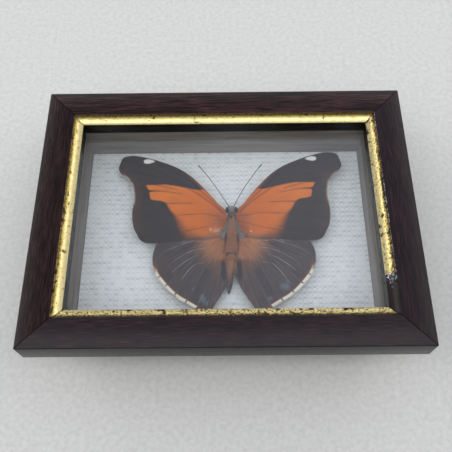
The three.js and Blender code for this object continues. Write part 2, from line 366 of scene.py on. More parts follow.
def pickEdges(obj, belongs):
    editAll(obj)
    bpy.ops.mesh.select_mode(type="EDGE")
    bpy.ops.mesh.select_all(action="DESELECT")
    doneEditing()
    points = obj.data.vertices
    for edge in obj.data.edges:
        edge.select = all(belongs(points[i].co) for i in edge.vertices)
    bpy.ops.object.mode_set(mode="EDIT")


def finishWith(obj, kind, **settings):
    select(obj)
    step = obj.modifiers.new(kind.lower(), kind)
    for key, value in settings.items():
        setattr(step, key, value)
    bpy.ops.object.modifier_apply(modifier=step.name)


def cutAway(obj, cutter):
    finishWith(obj, "BOOLEAN", operation="DIFFERENCE", solver="EXACT", object=cutter)
    bpy.data.objects.remove(cutter)


def addBlock(name, low, high):
    bpy.ops.object.select_all(action="DESELECT")
    low = Vector(low)
    high = Vector(high)
    bpy.ops.mesh.primitive_cube_add(size=1, location=(low + high) / 2)
    block = started(name)
    block.scale = high - low
    applyPlace()
    return block


def smoothed(obj, angle):
    select(obj)
    bpy.ops.object.shade_smooth_by_angle(angle=math.radians(angle))


def settle(obj, slot, finish, *nodes):
    # everything hangs on the one body, with its place in its mesh
    select(obj)
    applyPlace()
    obj.data.materials.clear()
    obj.data.materials.append(finish)
    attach(obj, "root")
    if nodes:
        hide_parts(*nodes)


def refinish(node, finish):
    skins = frame["nodes"][node].data.materials
    skins.clear()
    skins.append(finish)


def paint(obj, name, values):
    layer = obj.data.attributes.new(name, "FLOAT", "POINT")
    layer.data.foreach_set("value", np.asarray(values, np.float32))


def repaint(obj, name, values):
    obj.data.attributes[name].data.foreach_set("value", np.asarray(values, np.float32))


def pointsOf(obj):
    points = np.empty(len(obj.data.vertices) * 3)
    obj.data.vertices.foreach_get("co", points)
    return points.reshape(-1, 3)


def movePoints(obj, points):
    obj.data.vertices.foreach_set("co", points.ravel())


def cornersOf(obj):
    # each face corner's vertex place
    which = np.empty(len(obj.data.loops), np.int64)
    obj.data.loops.foreach_get("vertex_index", which)
    return pointsOf(obj)[which]


def unwrap(obj, name, across, up):
    layer = obj.data.uv_layers.new(name=name)
    layer.data.foreach_set("uv", np.column_stack([across, up]).astype(np.float32).ravel())


# moulding: dark foil on the flat, worn gilding in the scoop, black sight edge

mouldingSet = {
    "flat": 13.8 * mm,
    "scoopDrop": 2.8 * mm,
    "scoopSag": 0.6 * mm,
    "overhang": 0.6 * mm,     # how far the sight edge stands in over the glass
    "lip": 5.0 * mm,
    "mitreGap": 0.3 * mm,
    "rounding": 0.45 * mm,
    "dark": (0.0042, 0.0020, 0.0024),
    "red": (0.047, 0.0180, 0.0180),
    # bluish bloom: a painted sheen mixed into the foil's colour
    "paintedSheen": (0.046, 0.042, 0.053),
    "side": (0.0040, 0.0045, 0.0038),
    "arris": (0.002, 0.002, 0.002),
    "raw": (0.16, 0.105, 0.06),
    "gold": (0.68, 0.572, 0.268),
    "deepGold": (0.27, 0.19, 0.042),
    "tarnish": (0.12, 0.07, 0.022),
    "bole": (0.012, 0.008, 0.0075),
    "sight": (0.006, 0.005, 0.004),
    "chip": (0.42, 0.47, 0.55),
}
# quarter turns, redness of the foil, its bluish bloom (a painted sheen, more on the rails that catch more
# reflection), wear of the gilding, where its bare stretch starts
rails = {
    "rail_bottom": (0, 0.5, 0.15, 0.75, -1.0),
    "rail_right": (1, 0.45, 0.07, 0.62, -33.0 * mm),
    "rail_top": (2, 1.0, 0.02, 0.41, -1.0),
    "rail_left": (3, 0.6, 0.0, 0.45, -1.0),
}


def buildRail(name, quarter, warmth, paintedSheen, wear, bareFrom, finish):
    low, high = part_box(name)
    size = high - low
    gap = mouldingSet["mitreGap"] * math.sqrt(2)
    length = max(size.x, size.y) + gap
    width = min(size.x, size.y) + mouldingSet["overhang"]
    reach = max(abs(low.x), abs(high.x)) if quarter % 2 else max(abs(low.y), abs(high.y))
    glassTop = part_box("glass")[1].z
    outer = -reach
    rail = addBlock(name + ".moulding", (-length / 2, outer, low.z), (length / 2, outer + width, high.z))
    past = 10 * mm
    shelf = outer + width - mouldingSet["overhang"] - mouldingSet["lip"]
    rebate = addBlock("rebate", (-length, shelf, low.z - past), (length, outer + width + past, glassTop))
    cutAway(rail, rebate)

    # cove: a round cutter through the flat's inner edge and the top of the sight edge
    run = width - mouldingSet["flat"]
    drop = mouldingSet["scoopDrop"]
    sag = mouldingSet["scoopSag"]
    chord = math.hypot(run, drop)
    radius = chord * chord / (8 * sag) + sag / 2
    away = (radius - sag) / chord
    centre = (0, outer + mouldingSet["flat"] + run / 2 + away * drop, high.z - drop / 2 + away * run)
    bpy.ops.object.select_all(action="DESELECT")
    bpy.ops.mesh.primitive_cylinder_add(vertices=192, radius=radius, depth=2 * length,
                                        location=centre, rotation=(0, math.pi / 2, 0))
    cutAway(rail, started("cove"))

    near = 0.1 * mm
    pickEdges(rail, lambda p: p.y < outer + near and (p.z > high.z - near or p.z < low.z + near))
    bpy.ops.mesh.bevel(offset=mouldingSet["rounding"], segments=5, affect="EDGES")
    for end in (-1, 1):
        bpy.ops.mesh.select_all(action="SELECT")
        bpy.ops.mesh.bisect(plane_co=(end * (length - gap) / 2, outer, 0), plane_no=(end, 1, 0),
                            clear_outer=True, use_fill=True)
    doneEditing()
    smoothed(rail, 32)

    # grain map: along the rail, and round the section from the outer arris
    corners = cornersOf(rail)
    section = corners[:, 1] - outer
    below = high.z - corners[:, 2]
    around = np.where(section < width / 2, section - below, section + below)
    sight = width + mouldingSet["scoopDrop"]   # where the scoop ends, round the section
    for face in rail.data.polygons:
        inner = face.normal.y > 0.5 and face.center.z < glassTop
        if face.normal.z < -0.5 or inner:
            around[list(face.loop_indices)] = -2 * width
    unwrap(rail, "grain", corners[:, 0], around)
    marks = {"warmth": warmth, "paintedSheen": paintedSheen, "wear": wear, "sight": sight, "bareFrom": bareFrom,
             "seed": 3.7 * quarter}
    for mark, value in marks.items():
        paint(rail, mark, np.full(len(rail.data.vertices), value))
    rail.rotation_euler.z = quarter * math.pi / 2
    settle(rail, "moulding", finish, name)


def mouldingFinish():
    finish, tree, shader = newFinish("mouldingFoil", 0.4)
    shader.inputs["Specular IOR Level"].default_value = 0.13
    place = surfaceMap(tree, "grain")
    along = place[0]
    across = place[1]
    seed = painted(tree, "seed")
    wear = painted(tree, "wear")
    spot = vector(tree, along, across, seed)

    # foil: near-black brown with fine broken streaks of wine red
    grain = useEffect(tree, woodStreaks, Along=along, Across=across, Seed=seed, Length=8 * mm,
                      Width=0.28 * mm)
    redness = times(tree, ramp(tree, grain["Fine"], 0.41, 0.62), ramp(tree, grain["Broad"], 0.2, 0.7))
    redness = times(tree, redness, painted(tree, "warmth"))
    foil = mixColour(tree, redness, mouldingSet["dark"], mouldingSet["red"])
    # painted sheen: the bluish bloom is mixed into the colour, more on some rails than others
    sheenAmount = times(tree, painted(tree, "paintedSheen"), ramp(tree, grain["Fine"], 0.3, 0.7, 0.6, 1.4))
    foil = mixColour(tree, sheenAmount, foil, mouldingSet["paintedSheen"])
    foil = mixColour(tree, ramp(tree, across, -0.5 * mm, -0.2 * mm), mouldingSet["arris"], foil)
    streaky = ramp(tree, grain["Fine"], 0.3, 0.7, 0.0, 0.4)
    side = mixColour(tree, streaky, mouldingSet["side"], mouldingSet["dark"])
    foil = mixColour(tree, ramp(tree, across, -1.1 * mm, -0.7 * mm), side, foil)
    foil = mixColour(tree, ramp(tree, across, -17 * mm, -16 * mm), mouldingSet["raw"], foil)

    # gilding: ragged at its outer edge, tarnished and rubbed through in flecks
    ragged = noise(tree, spot, 900.0, 4.0, 0.65)
    start = times(tree, minus(tree, ragged, 0.46), times(tree, wear, 2.4 * mm))
    depth = minus(tree, minus(tree, across, mouldingSet["flat"]), start)
    past = minus(tree, across, painted(tree, "sight"))
    gilded = times(tree, ramp(tree, depth, -0.08 * mm, 0.10 * mm),
                   ramp(tree, past, -0.05 * mm, 0.15 * mm, 1.0, 0.0))
    amount = times(tree, wear, ramp(tree, depth, 0.3 * mm, 4.0 * mm, 1.0, 0.55))   # most near the edge
    flecks = useEffect(tree, wornFlecks, Place=spot, Size=1.0 * mm, Amount=amount)
    patches = useEffect(tree, wornFlecks, Place=spot, Size=3.2 * mm, Amount=times(tree, amount, 0.85))
    rubbed = calc(tree, "MAXIMUM", flecks["Mask"], patches["Mask"])
    dulled = calc(tree, "MAXIMUM", flecks["Halo"], patches["Halo"])
    bareEdge = swing(tree, ragged, 9 * mm)
    bare = ramp(tree, plus(tree, along, bareEdge), plus(tree, painted(tree, "bareFrom"), -1 * mm),
                painted(tree, "bareFrom"), 1.0, 0.0)
    rubbed = calc(tree, "MAXIMUM", rubbed, bare)
    leaf = times(tree, gilded, minus(tree, 1.0, rubbed))
    cloud = noise(tree, spot, 420.0, 3.0, 0.6)
    # painted shade: the gilding is painted darker over the outer half of the cove and brighter over the
    # inner half that faces up; a cloudy mottle of its own tone rides on top
    coveShadeAndMottle = plus(tree, ramp(tree, depth, 0.6 * mm, 5.2 * mm, 0.95, 0.0),
                ramp(tree, cloud, 0.35, 0.7, -0.1, 0.3))
    gold = mixColour(tree, coveShadeAndMottle, mouldingSet["gold"], mouldingSet["deepGold"])
    # painted highlight: a line of pale gold along the rounded outer edge of the leaf
    edgeHighlight = times(tree, ramp(tree, depth, 0.1 * mm, 0.5 * mm, 1.0, 0.0),
                  ramp(tree, ragged, 0.4, 0.55, 0.0, 0.8))
    gold = mixColour(tree, edgeHighlight, gold, mouldingSet["gold"])
    gold = mixColour(tree, times(tree, dulled, 0.8), gold, mouldingSet["tarnish"])

    # pale ground shows at the leaf's outer edge and where the bare stretch starts
    hem = times(tree, ramp(tree, depth, -0.45 * mm, -0.2 * mm), ramp(tree, depth, 0.0, 0.3 * mm, 0.36, 0.0))
    hem = times(tree, hem, byMark(tree, "bareFrom", -0.5, -0.1))
    hem = times(tree, hem, minus(tree, 1.0, bare))
    flaking = times(tree, bare, ramp(tree, along, -47 * mm, -33 * mm, 0.0, 0.3))
    flaking = plus(tree, calc(tree, "MAXIMUM", flaking, hem), 0.12)
    chips = useEffect(tree, wornFlecks, Place=spot, Size=0.9 * mm, Amount=flaking)
    under = mixColour(tree, chips["Mask"], mouldingSet["bole"], mouldingSet["chip"])

    inScoop = ramp(tree, across, mouldingSet["flat"] - 0.2 * mm, mouldingSet["flat"] + 0.05 * mm)
    colour = mixColour(tree, inScoop, foil, under)
    colour = mixColour(tree, ramp(tree, past, 0.0, 0.15 * mm), colour, mouldingSet["sight"])
    colour = mixColour(tree, leaf, colour, gold)
    dullness = ramp(tree, plus(tree, cloud, dulled), 0.3, 1.5, 0.28, 0.6)
    roughness = ramp(tree, grain["Fine"], 0.2, 0.8, 0.18, 0.30)
    roughness = addNode(tree, "ShaderNodeMix", {0: leaf, 2: roughness, 3: dullness}).outputs[0]
    feed(tree, shader, Base_Color=colour, Metallic=leaf, Roughness=roughness)
    height = plus(tree, times(tree, grain["Fine"], 0.2),
                  times(tree, leaf, plus(tree, times(tree, cloud, 0.5), 0.4)))
    raised(tree, shader, height, 0.4, 0.06 * mm)
    return finish


mouldingFoil = mouldingFinish()
for railName, ways in rails.items():
    buildRail(railName, *ways, mouldingFoil)
print("moulding: four mitred rails")


# box: four boards, the hardboard back, its brads and the hanger

boxSet = {
    "edge": 0.4 * mm,
    "pale": (0.30, 0.275, 0.25),
    "stain": (0.115, 0.10, 0.09),
    "panel": (0.20, 0.115, 0.06),
    "panelDark": (0.11, 0.06, 0.03),
    "brass": (0.72, 0.52, 0.22),
    "brassDull": (0.30, 0.21, 0.10),
    "steel": (0.42, 0.41, 0.39),
    "rust": (0.16, 0.075, 0.035),
}


def boardFinish():
    finish, tree, shader = newFinish("stainedBoard", 0.7)
    place = surfaceMap(tree, "grain")
    grain = useEffect(tree, woodStreaks, Along=place[0], Across=place[1], Seed=1.3, Length=24 * mm,
                      Width=0.9 * mm)
    streak = times(tree, ramp(tree, grain["Fine"], 0.34, 0.66), ramp(tree, grain["Broad"], 0.2, 0.75))
    feed(tree, shader, Base_Color=mixColour(tree, streak, boxSet["pale"], boxSet["stain"]))
    feed(tree, shader, Roughness=ramp(tree, grain["Fine"], 0.2, 0.8, 0.6, 0.8))
    raised(tree, shader, grain["Fine"], 0.4, 0.08 * mm)
    return finish


def panelFinish():
    finish, tree, shader = newFinish("pressedBoard", 0.7)
    place = objectPlace(tree)
    felt = useEffect(tree, feltedFibres, Place=place, Size=0.7 * mm)
    screen = addNode(tree, "ShaderNodeTexVoronoi", {"Vector": place, "Scale": 900.0}).outputs["Distance"]
    tone = times(tree, felt["Height"], felt["Cloud"])
    colour = mixColour(tree, ramp(tree, tone, 0.1, 0.42), boxSet["panelDark"], boxSet["panel"])
    feed(tree, shader, Base_Color=colour)
    feed(tree, shader, Roughness=ramp(tree, felt["Height"], 0.2, 0.8, 0.55, 0.8))
    raised(tree, shader, plus(tree, screen, felt["Height"]), 0.5, 0.15 * mm)
    return finish


def metalFinish(name, bright, dull, size, amount, roughness):
    finish, tree, shader = newFinish(name, roughness)
    place = objectPlace(tree)
    worn = useEffect(tree, wornFlecks, Place=place, Size=size, Amount=amount)
    feed(tree, shader, Base_Color=mixColour(tree, worn["Mask"], bright, dull))
    feed(tree, shader, Metallic=ramp(tree, worn["Mask"], 0.0, 1.0, 1.0, 0.5))
    feed(tree, shader, Roughness=ramp(tree, worn["Tone"], 0.3, 0.7, roughness - 0.08, roughness + 0.15))
    raised(tree, shader, worn["Tone"], 0.2, 0.03 * mm)
    return finish


def buildBoard(name, finish):
    low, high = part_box(name)
    board = addBlock(name + ".board", low, high)
    editAll(board)
    bpy.ops.mesh.bevel(offset=boxSet["edge"], segments=3, affect="EDGES")
    doneEditing()
    smoothed(board, 40)
    corners = cornersOf(board)
    alongX = high.x - low.x > high.y - low.y
    side = corners[:, 1] if alongX else corners[:, 0]
    unwrap(board, "grain", corners[:, 0] if alongX else corners[:, 1], corners[:, 2] + side)
    settle(board, "box_timber", finish, name)


def buildHanger(finish):
    source = frame["nodes"]["hanger"]
    hanger = addObject("hanger.plate", source.data.copy())
    editAll(hanger)
    bpy.ops.mesh.remove_doubles(threshold=0.01 * mm)
    bpy.ops.mesh.dissolve_limited(angle_limit=math.radians(2))
    doneEditing()
    finishWith(hanger, "BEVEL", width=0.16 * mm, segments=2, limit_method="ANGLE",
               angle_limit=math.radians(50))
    smoothed(hanger, 40)
    settle(hanger, "hanger_brass", finish, "hanger")


def buildBrads(finish):
    low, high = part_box("brad_1")
    size = sorted(high - low)
    bpy.ops.object.select_all(action="DESELECT")
    bpy.ops.mesh.primitive_cylinder_add(vertices=20, radius=size[0] / 2, depth=size[2])
    first = started("brad")
    pickEdges(first, lambda p: p.z > 0)
    bpy.ops.mesh.bevel(offset=0.25 * mm, segments=2, affect="EDGES")
    doneEditing()
    for number in range(1, 7):
        name = f"brad_{number}"
        low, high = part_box(name)
        size = high - low
        brad = addObject(name + ".nail", first.data.copy())
        middle = (low + high) / 2
        brad.location = middle
        if size.x > size.y:
            brad.rotation_euler = (0, -math.copysign(math.pi / 2, middle.x), 0)
        else:
            brad.rotation_euler = (math.copysign(math.pi / 2, middle.y), 0, 0)
        smoothed(brad, 40)
        settle(brad, "brad_steel", finish, name)
    bpy.data.objects.remove(first)


stainedBoard = boardFinish()
for side in ("top", "bottom", "left", "right"):
    buildBoard("box_side_" + side, stainedBoard)
refinish("back_panel", panelFinish())
buildHanger(metalFinish("dulledBrass", boxSet["brass"], boxSet["brassDull"], 1.6 * mm, 0.45, 0.34))
buildBrads(metalFinish("bareSteel", boxSet["steel"], boxSet["rust"], 0.8 * mm, 0.4, 0.45))
print("box: boards, back panel, brads and hanger")


# glass and the embossed sheet behind the butterfly

glassSet = {"index": 1.5, "colour": (0.985, 0.995, 0.99)}
sheetSet = {
    "pitchX": 2.5 * mm,
    "pitchY": 2.8 * mm,
    "groove": 0.48 * mm,
    "upright": 0.5,      # the upright grooves are shallower than the level ones
    "relief": 0.42 * mm,
    "step": 0.46 * mm,
    "white": (0.93, 0.965, 0.98),
    "shadow": (0.58, 0.615, 0.64),
}


def glassFinish():
    finish, tree, shader = newFinish("pictureGlass", 0.0)
    shader.inputs["Transmission Weight"].default_value = 1.0
    shader.inputs["IOR"].default_value = glassSet["index"]
    shader.inputs["Base Color"].default_value = (*glassSet["colour"], 1.0)
    ripple = noise(tree, objectPlace(tree), 9.0, 1.0)
    raised(tree, shader, ripple, 0.05, 0.3 * mm)
    return finish


def sheetFinish():
    finish, tree, shader = newFinish("embossedCard", 0.8)
    place = objectPlace(tree)
    felt = useEffect(tree, feltedFibres, Place=place, Size=0.35 * mm)
    groove = painted(tree, "groove")
    dark = plus(tree, times(tree, groove, 0.75), times(tree, felt["Cloud"], 0.2))
    feed(tree, shader, Base_Color=mixColour(tree, dark, sheetSet["white"], sheetSet["shadow"]))
    feed(tree, shader, Roughness=ramp(tree, felt["Height"], 0.2, 0.8, 0.7, 0.9))
    raised(tree, shader, felt["Height"], 0.25, 0.06 * mm)
    return finish


def buildSheet(finish):
    low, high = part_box("mount_sheet")
    size = high - low
    middle = (low + high) / 2
    bpy.ops.object.select_all(action="DESELECT")
    bpy.ops.mesh.primitive_grid_add(x_subdivisions=round(size.x / sheetSet["step"]),
                                    y_subdivisions=round(size.y / sheetSet["step"]),
                                    size=1, location=(middle.x, middle.y, high.z))
    sheet = started("mount_sheet.card")
    sheet.scale = (size.x, size.y, 1)
    applyPlace()

    # pressed grooves between the little pillows, uneven from one to the next
    points = pointsOf(sheet)
    wander = 0.3 * mm * np.sin(points[:, 1] / (7 * mm)) * np.sin(points[:, 0] / (11 * mm))
    cells = []
    gaps = []
    for axis, pitch in ((0, sheetSet["pitchX"]), (1, sheetSet["pitchY"])):
        at = (points[:, axis] + wander) / pitch + 100
        cells.append(np.floor(at).astype(int))
        gaps.append((at - np.floor(at) - 0.5) * pitch)
    uneven, above = rng.uniform(-1, 1, (2, 200, 200))[:, cells[0], cells[1]]
    swell = 0.25 * np.sin(points[:, 0] / (9 * mm) + 1) * np.sin(points[:, 1] / (13 * mm))
    strength = 0.85 + 0.5 * uneven + swell
    strength = np.clip(strength, 0.15, 1.4)
    dash = np.abs(np.cos(np.pi * gaps[0] / sheetSet["pitchX"])) ** 0.7
    level = strength * dash * np.exp(-((gaps[1] - 0.22 * mm * above) / sheetSet["groove"]) ** 2)
    post = np.abs(np.sin(np.pi * gaps[1] / sheetSet["pitchY"])) ** 0.7
    between = sheetSet["pitchX"] / 2 - np.abs(gaps[0])
    upright = sheetSet["upright"] * strength * post * np.exp(-(between / sheetSet["groove"]) ** 2)
    groove = np.maximum(level, upright)
    points[:, 2] -= sheetSet["relief"] * groove
    movePoints(sheet, points)
    paint(sheet, "groove", groove)

    # sides and back of the card
    editAll(sheet)
    bpy.ops.mesh.select_mode(type="EDGE")
    bpy.ops.mesh.select_all(action="DESELECT")
    bpy.ops.mesh.select_non_manifold(extend=False)
    bpy.ops.mesh.extrude_region_move()
    bpy.ops.transform.resize(value=(1, 1, 0), center_override=(middle.x, middle.y, low.z))
    bpy.ops.mesh.edge_face_add()
    faceOutward()
    smoothed(sheet, 50)
    settle(sheet, "mount_paper", finish, "mount_sheet")


refinish("glass", glassFinish())
buildSheet(sheetFinish())
print("glass and embossed sheet")


# butterfly: wings first, in the specimen's own place (out from the axis, ahead of the pin, in mm)

specimenSet = {
    "pin": (3.1 * mm, 5.0 * mm),
    "turn": 0.6,             # degrees
    "wingLift": 11.2 * mm,
    "wingStep": 0.75 * mm,   # from the hindwings up to the forewings
    "root": (3.0, -1.0),     # where the rows of scales fan out from
    "flushFrom": (2, -10),
    "arch": 0.9 * mm,
    "sag": 0.22 * mm,
    "ridge": 0.07 * mm,
    "foldDepth": 1.1 * mm,
}

forewing = {
    "middle": (25, 12),
    "spacing": 0.6,
    "rings": 38,
    "skin": 0.16 * mm,
    "notch": 0.25,
    "edge": [(2.6, 4.9), (6.8, 10.2), (11.4, 16.2), (16.3, 22), (21.8, 27.4), (28.1, 31.8), (35, 35.1),
             (42.6, 38), (50, 40), (53.8, 40.2), (57.3, 39.2), (58.6, 36.1), (59.4, 32.4)],
    # outer margin, with how much pale fringe it keeps
    "margin": [(57.6, 28.9, 0.3), (54.5, 26.2, 0.9), (52.3, 23.6, 1), (51, 19.6, 1), (50.4, 13.8, 0.8),
               (50.8, 5.8, 0.25), (50.4, 0.1, 0.1), (49.5, -3.5, 0.05)],
    "hind": [(47.8, -6.9), (45.9, -10.2), (42.4, -11.9), (36.7, -11.8), (24.8, -10.9), (13.9, -10.4),
             (7.9, -9.6), (2.6, -7.3)],
    "veins": [
        [(4, 4.6), (10.9, 12.7), (18.9, 20.2), (27.8, 26.8), (37.7, 32.2)],
        [(4, 4.1), (11.9, 11.6), (21.8, 18.8), (33.7, 26.2), (45.7, 32.2), (57.1, 36.8)],
        [(25.8, 20.2), (35.7, 24.2), (46.6, 27.8), (57.8, 29.9)],
        [(27.8, 18.2), (37.7, 21.1), (45.7, 23.1), (53.2, 24.8)],
        [(25.8, 15.8), (33.7, 17.4), (42.2, 18.1), (50.8, 18.1)],
        [(19.9, 10.2), (26.8, 10.3), (33.7, 10.2), (41.7, 9.6), (50.6, 8.6)],
        [(6, 2.5), (13.9, 4), (21.8, 3.7), (29.8, 2.8), (39.7, 1), (49.8, -1.2)],
        [(5, -0.4), (15.9, -4.1), (29.8, -6.7), (45.7, -9.8)],
    ],
    # orange band, with how soft its edge is there
    "band": [(17.2, 18.1, 0.5), (23.3, 19.4, 0.5), (28.3, 20.6, 0.45), (33.7, 21.6, 0.4), (39.2, 21.6, 0.4),
             (43.7, 21.6, 0.4), (44.1, 21.4, 0.4), (43.4, 19.6, 0.35), (42.7, 18.6, 0.3), (40.1, 18.2, 0.3),
             (36.7, 17.9, 0.3), (40.1, 17.6, 0.3), (42.2, 17.2, 0.3),
             (42.1, 15.1, 0.4), (41.5, 13.3, 0.4), (40, 12.6, 0.4), (37.7, 12.3, 0.45), (35.3, 11.7, 0.5),
             (33.4, 10.2, 0.6), (32, 7.9, 0.8), (30.4, 5.7, 1.0), (28.8, 3.5, 1.6), (27.4, 1.5, 2.2),
             (26, -0.9, 3), (24.2, -4, 4), (20.8, -7.5, 5), (14.9, -10.6, 3.5), (6, -12.5, 3), (0, -6, 2),
             (0, 6, 1), (6, 13.5, 0.8), (11.4, 18, 0.6)],
    "spot": [(45.9, 37.4), (46.1, 36.2), (45.6, 35.1), (43.9, 34.9), (41.9, 35.4), (40.1, 36.2), (42, 37.3),
             (44.2, 37.7)],
    # places rubbed bare, with their radius
    "rubbed": {"left": [(7, -5.6, 2.1), (10.6, -4.9, 0.8), (5, -3.8, 0.8)],
               "right": [(9.9, -6.1, 0.6), (11.6, 2.6, 0.3)]},
    "stretch": {"left": 1.0, "right": 1.0},
}
hindwing = {
    "middle": (18, -21),
    "spacing": 0.6,
    "rings": 34,
    "skin": 0.16 * mm,
    "notch": 0.7,
    "edge": [(2.6, -2.6), (12, -3), (24, -4.6), (33, -7.8), (37.4, -11), (39.8, -14.6), (40.7, -18.8)],
    "margin": [(40.4, -24, 0.35), (39.3, -27.8, 0.6), (37.2, -31.2, 1), (32.1, -37.1, 1), (28.2, -40.6, 1),
               (24, -43.3, 1), (20.4, -45.4, 0.9), (18.4, -46.8, 0.6)],
    "hind": [(17.4, -48.8), (14.4, -50.2), (11.2, -48.8), (9.4, -45.2), (6.7, -41), (4.4, -37), (2.6, -33),
             (1.2, -29.5), (0.4, -26), (0.4, -18), (0.4, -10)],
    "veins": [
        [(4, -4), (14, -5.2), (26, -8), (38, -12.2)],
        [(5, -6), (14, -8.6), (27, -13), (40.4, -18.6)],
        [(5, -7), (14, -11.5), (27, -18.2), (40, -24.8)],
        [(14, -11.5), (22, -18), (30, -24.5), (38, -30.6)],
        [(13, -14), (20, -21.5), (27.5, -28.8), (34, -35)],
        [(11, -14), (17, -23), (23.5, -32), (29.3, -39.8)],
        [(6, -10), (11.5, -20), (17.5, -32.5), (23.3, -43)],
        [(4.5, -10), (8, -21), (12.6, -34), (18, -46.4)],
        [(4, -12), (5.6, -24), (8.6, -36), (12, -47.5)],
    ],
    # pale hair lines beside the veins, with a painted highlight along them
    "paleLines": [
        [(13, -9.6), (21, -10.5), (28, -12)],
        [(12.6, -11.3), (19.2, -11.2), (25, -12.4), (30.5, -14.6), (34.5, -16.6), (38.2, -19.4)],
        [(14, -15), (18.2, -15.6), (23, -17.4), (27.2, -19.9), (30.8, -22.6), (33, -25.3)],
        [(17.6, -18.8), (22, -20.8), (26, -23.6), (30.5, -27.4)],
        [(15, -22.9), (17.7, -23.3), (20.2, -24.4), (23, -27.8), (25.4, -31.2)],
    ],
    # smears of pale blue scales, with their radius
    "rubbed": {"left": [(15, -41.5, 2.4), (13, -44, 1.6), (20, -36.5, 0.7)],
               "right": [(25.3, -35.9, 2.4), (26.5, -33.5, 1.2), (17.5, -42, 1.4)]},
    "fold": {"left": 4.6, "right": 3.4},   # trough beside the abdomen, out from the axis
    "stretch": {"left": 0.97, "right": 1.018},
}


def curveThrough(points, closed, fine=12):
    # rounds a given outline; columns after the first two ride along
    points = np.array(points, float)
    count = len(points)
    made = []
    for i in range(count if closed else count - 1):
        around = [(i + k) % count if closed else min(max(i + k, 0), count - 1) for k in (-1, 0, 1, 2)]
        before, start, stop, after = points[around]
        t = np.linspace(0, 1, fine, endpoint=False)[:, None]
        made.append(0.5 * (2 * start + (stop - before) * t
                           + (2 * before - 5 * start + 4 * stop - after) * t ** 2
                           + (3 * start - before - 3 * stop + after) * t ** 3))
    if not closed:
        made.append(points[-1:])
    return np.vstack(made)


def evenly(path, spacing):
    # closed path cut into equal steps
    loop = np.vstack([path, path[:1]])
    run = np.concatenate([[0], np.cumsum(np.hypot(*np.diff(loop[:, :2], axis=0).T))])
    stops = np.linspace(0, run[-1], round(run[-1] / spacing), endpoint=False)
    return np.column_stack([np.interp(stops, run, column) for column in loop.T])


def nearest(points, path, closed=False):
    # distance to a path, and where along it the nearest place lies
    path = np.vstack([path, path[:1]]) if closed else path
    best = np.full(len(points), np.inf)
    place = np.zeros((len(points), path.shape[1]))
    for start, stop in zip(path[:-1], path[1:]):
        step = stop[:2] - start[:2]
        t = np.clip((points - start[:2]) @ step / max(step @ step, 1e-9), 0, 1)[:, None]
        foot = start + t * (stop - start)
        gap = np.hypot(*(points - foot[:, :2]).T)
        closer = gap < best
        best[closer] = gap[closer]
        place[closer] = foot[closer]
    return best, place


def inside(points, path):
    odd = np.zeros(len(points), bool)
    for start, stop in zip(path, np.roll(path, -1, axis=0)):
        if start[1] == stop[1]:
            continue
        crosses = (start[1] > points[:, 1]) != (stop[1] > points[:, 1])
        at = start[0] + (points[:, 1] - start[1]) * (stop[0] - start[0]) / (stop[1] - start[1])
        odd ^= crosses & (points[:, 0] < at)
    return odd


def signedTo(points, outline):
    path = curveThrough(outline, True)
    gap, place = nearest(points, path, True)
    return np.where(inside(points, path), gap, -gap), place


def settleSpecimen(obj, slot, finish, *nodes):
    obj.location = (*specimenSet["pin"], 0)
    obj.rotation_euler.z = math.radians(specimenSet["turn"])
    settle(obj, slot, finish, *nodes)


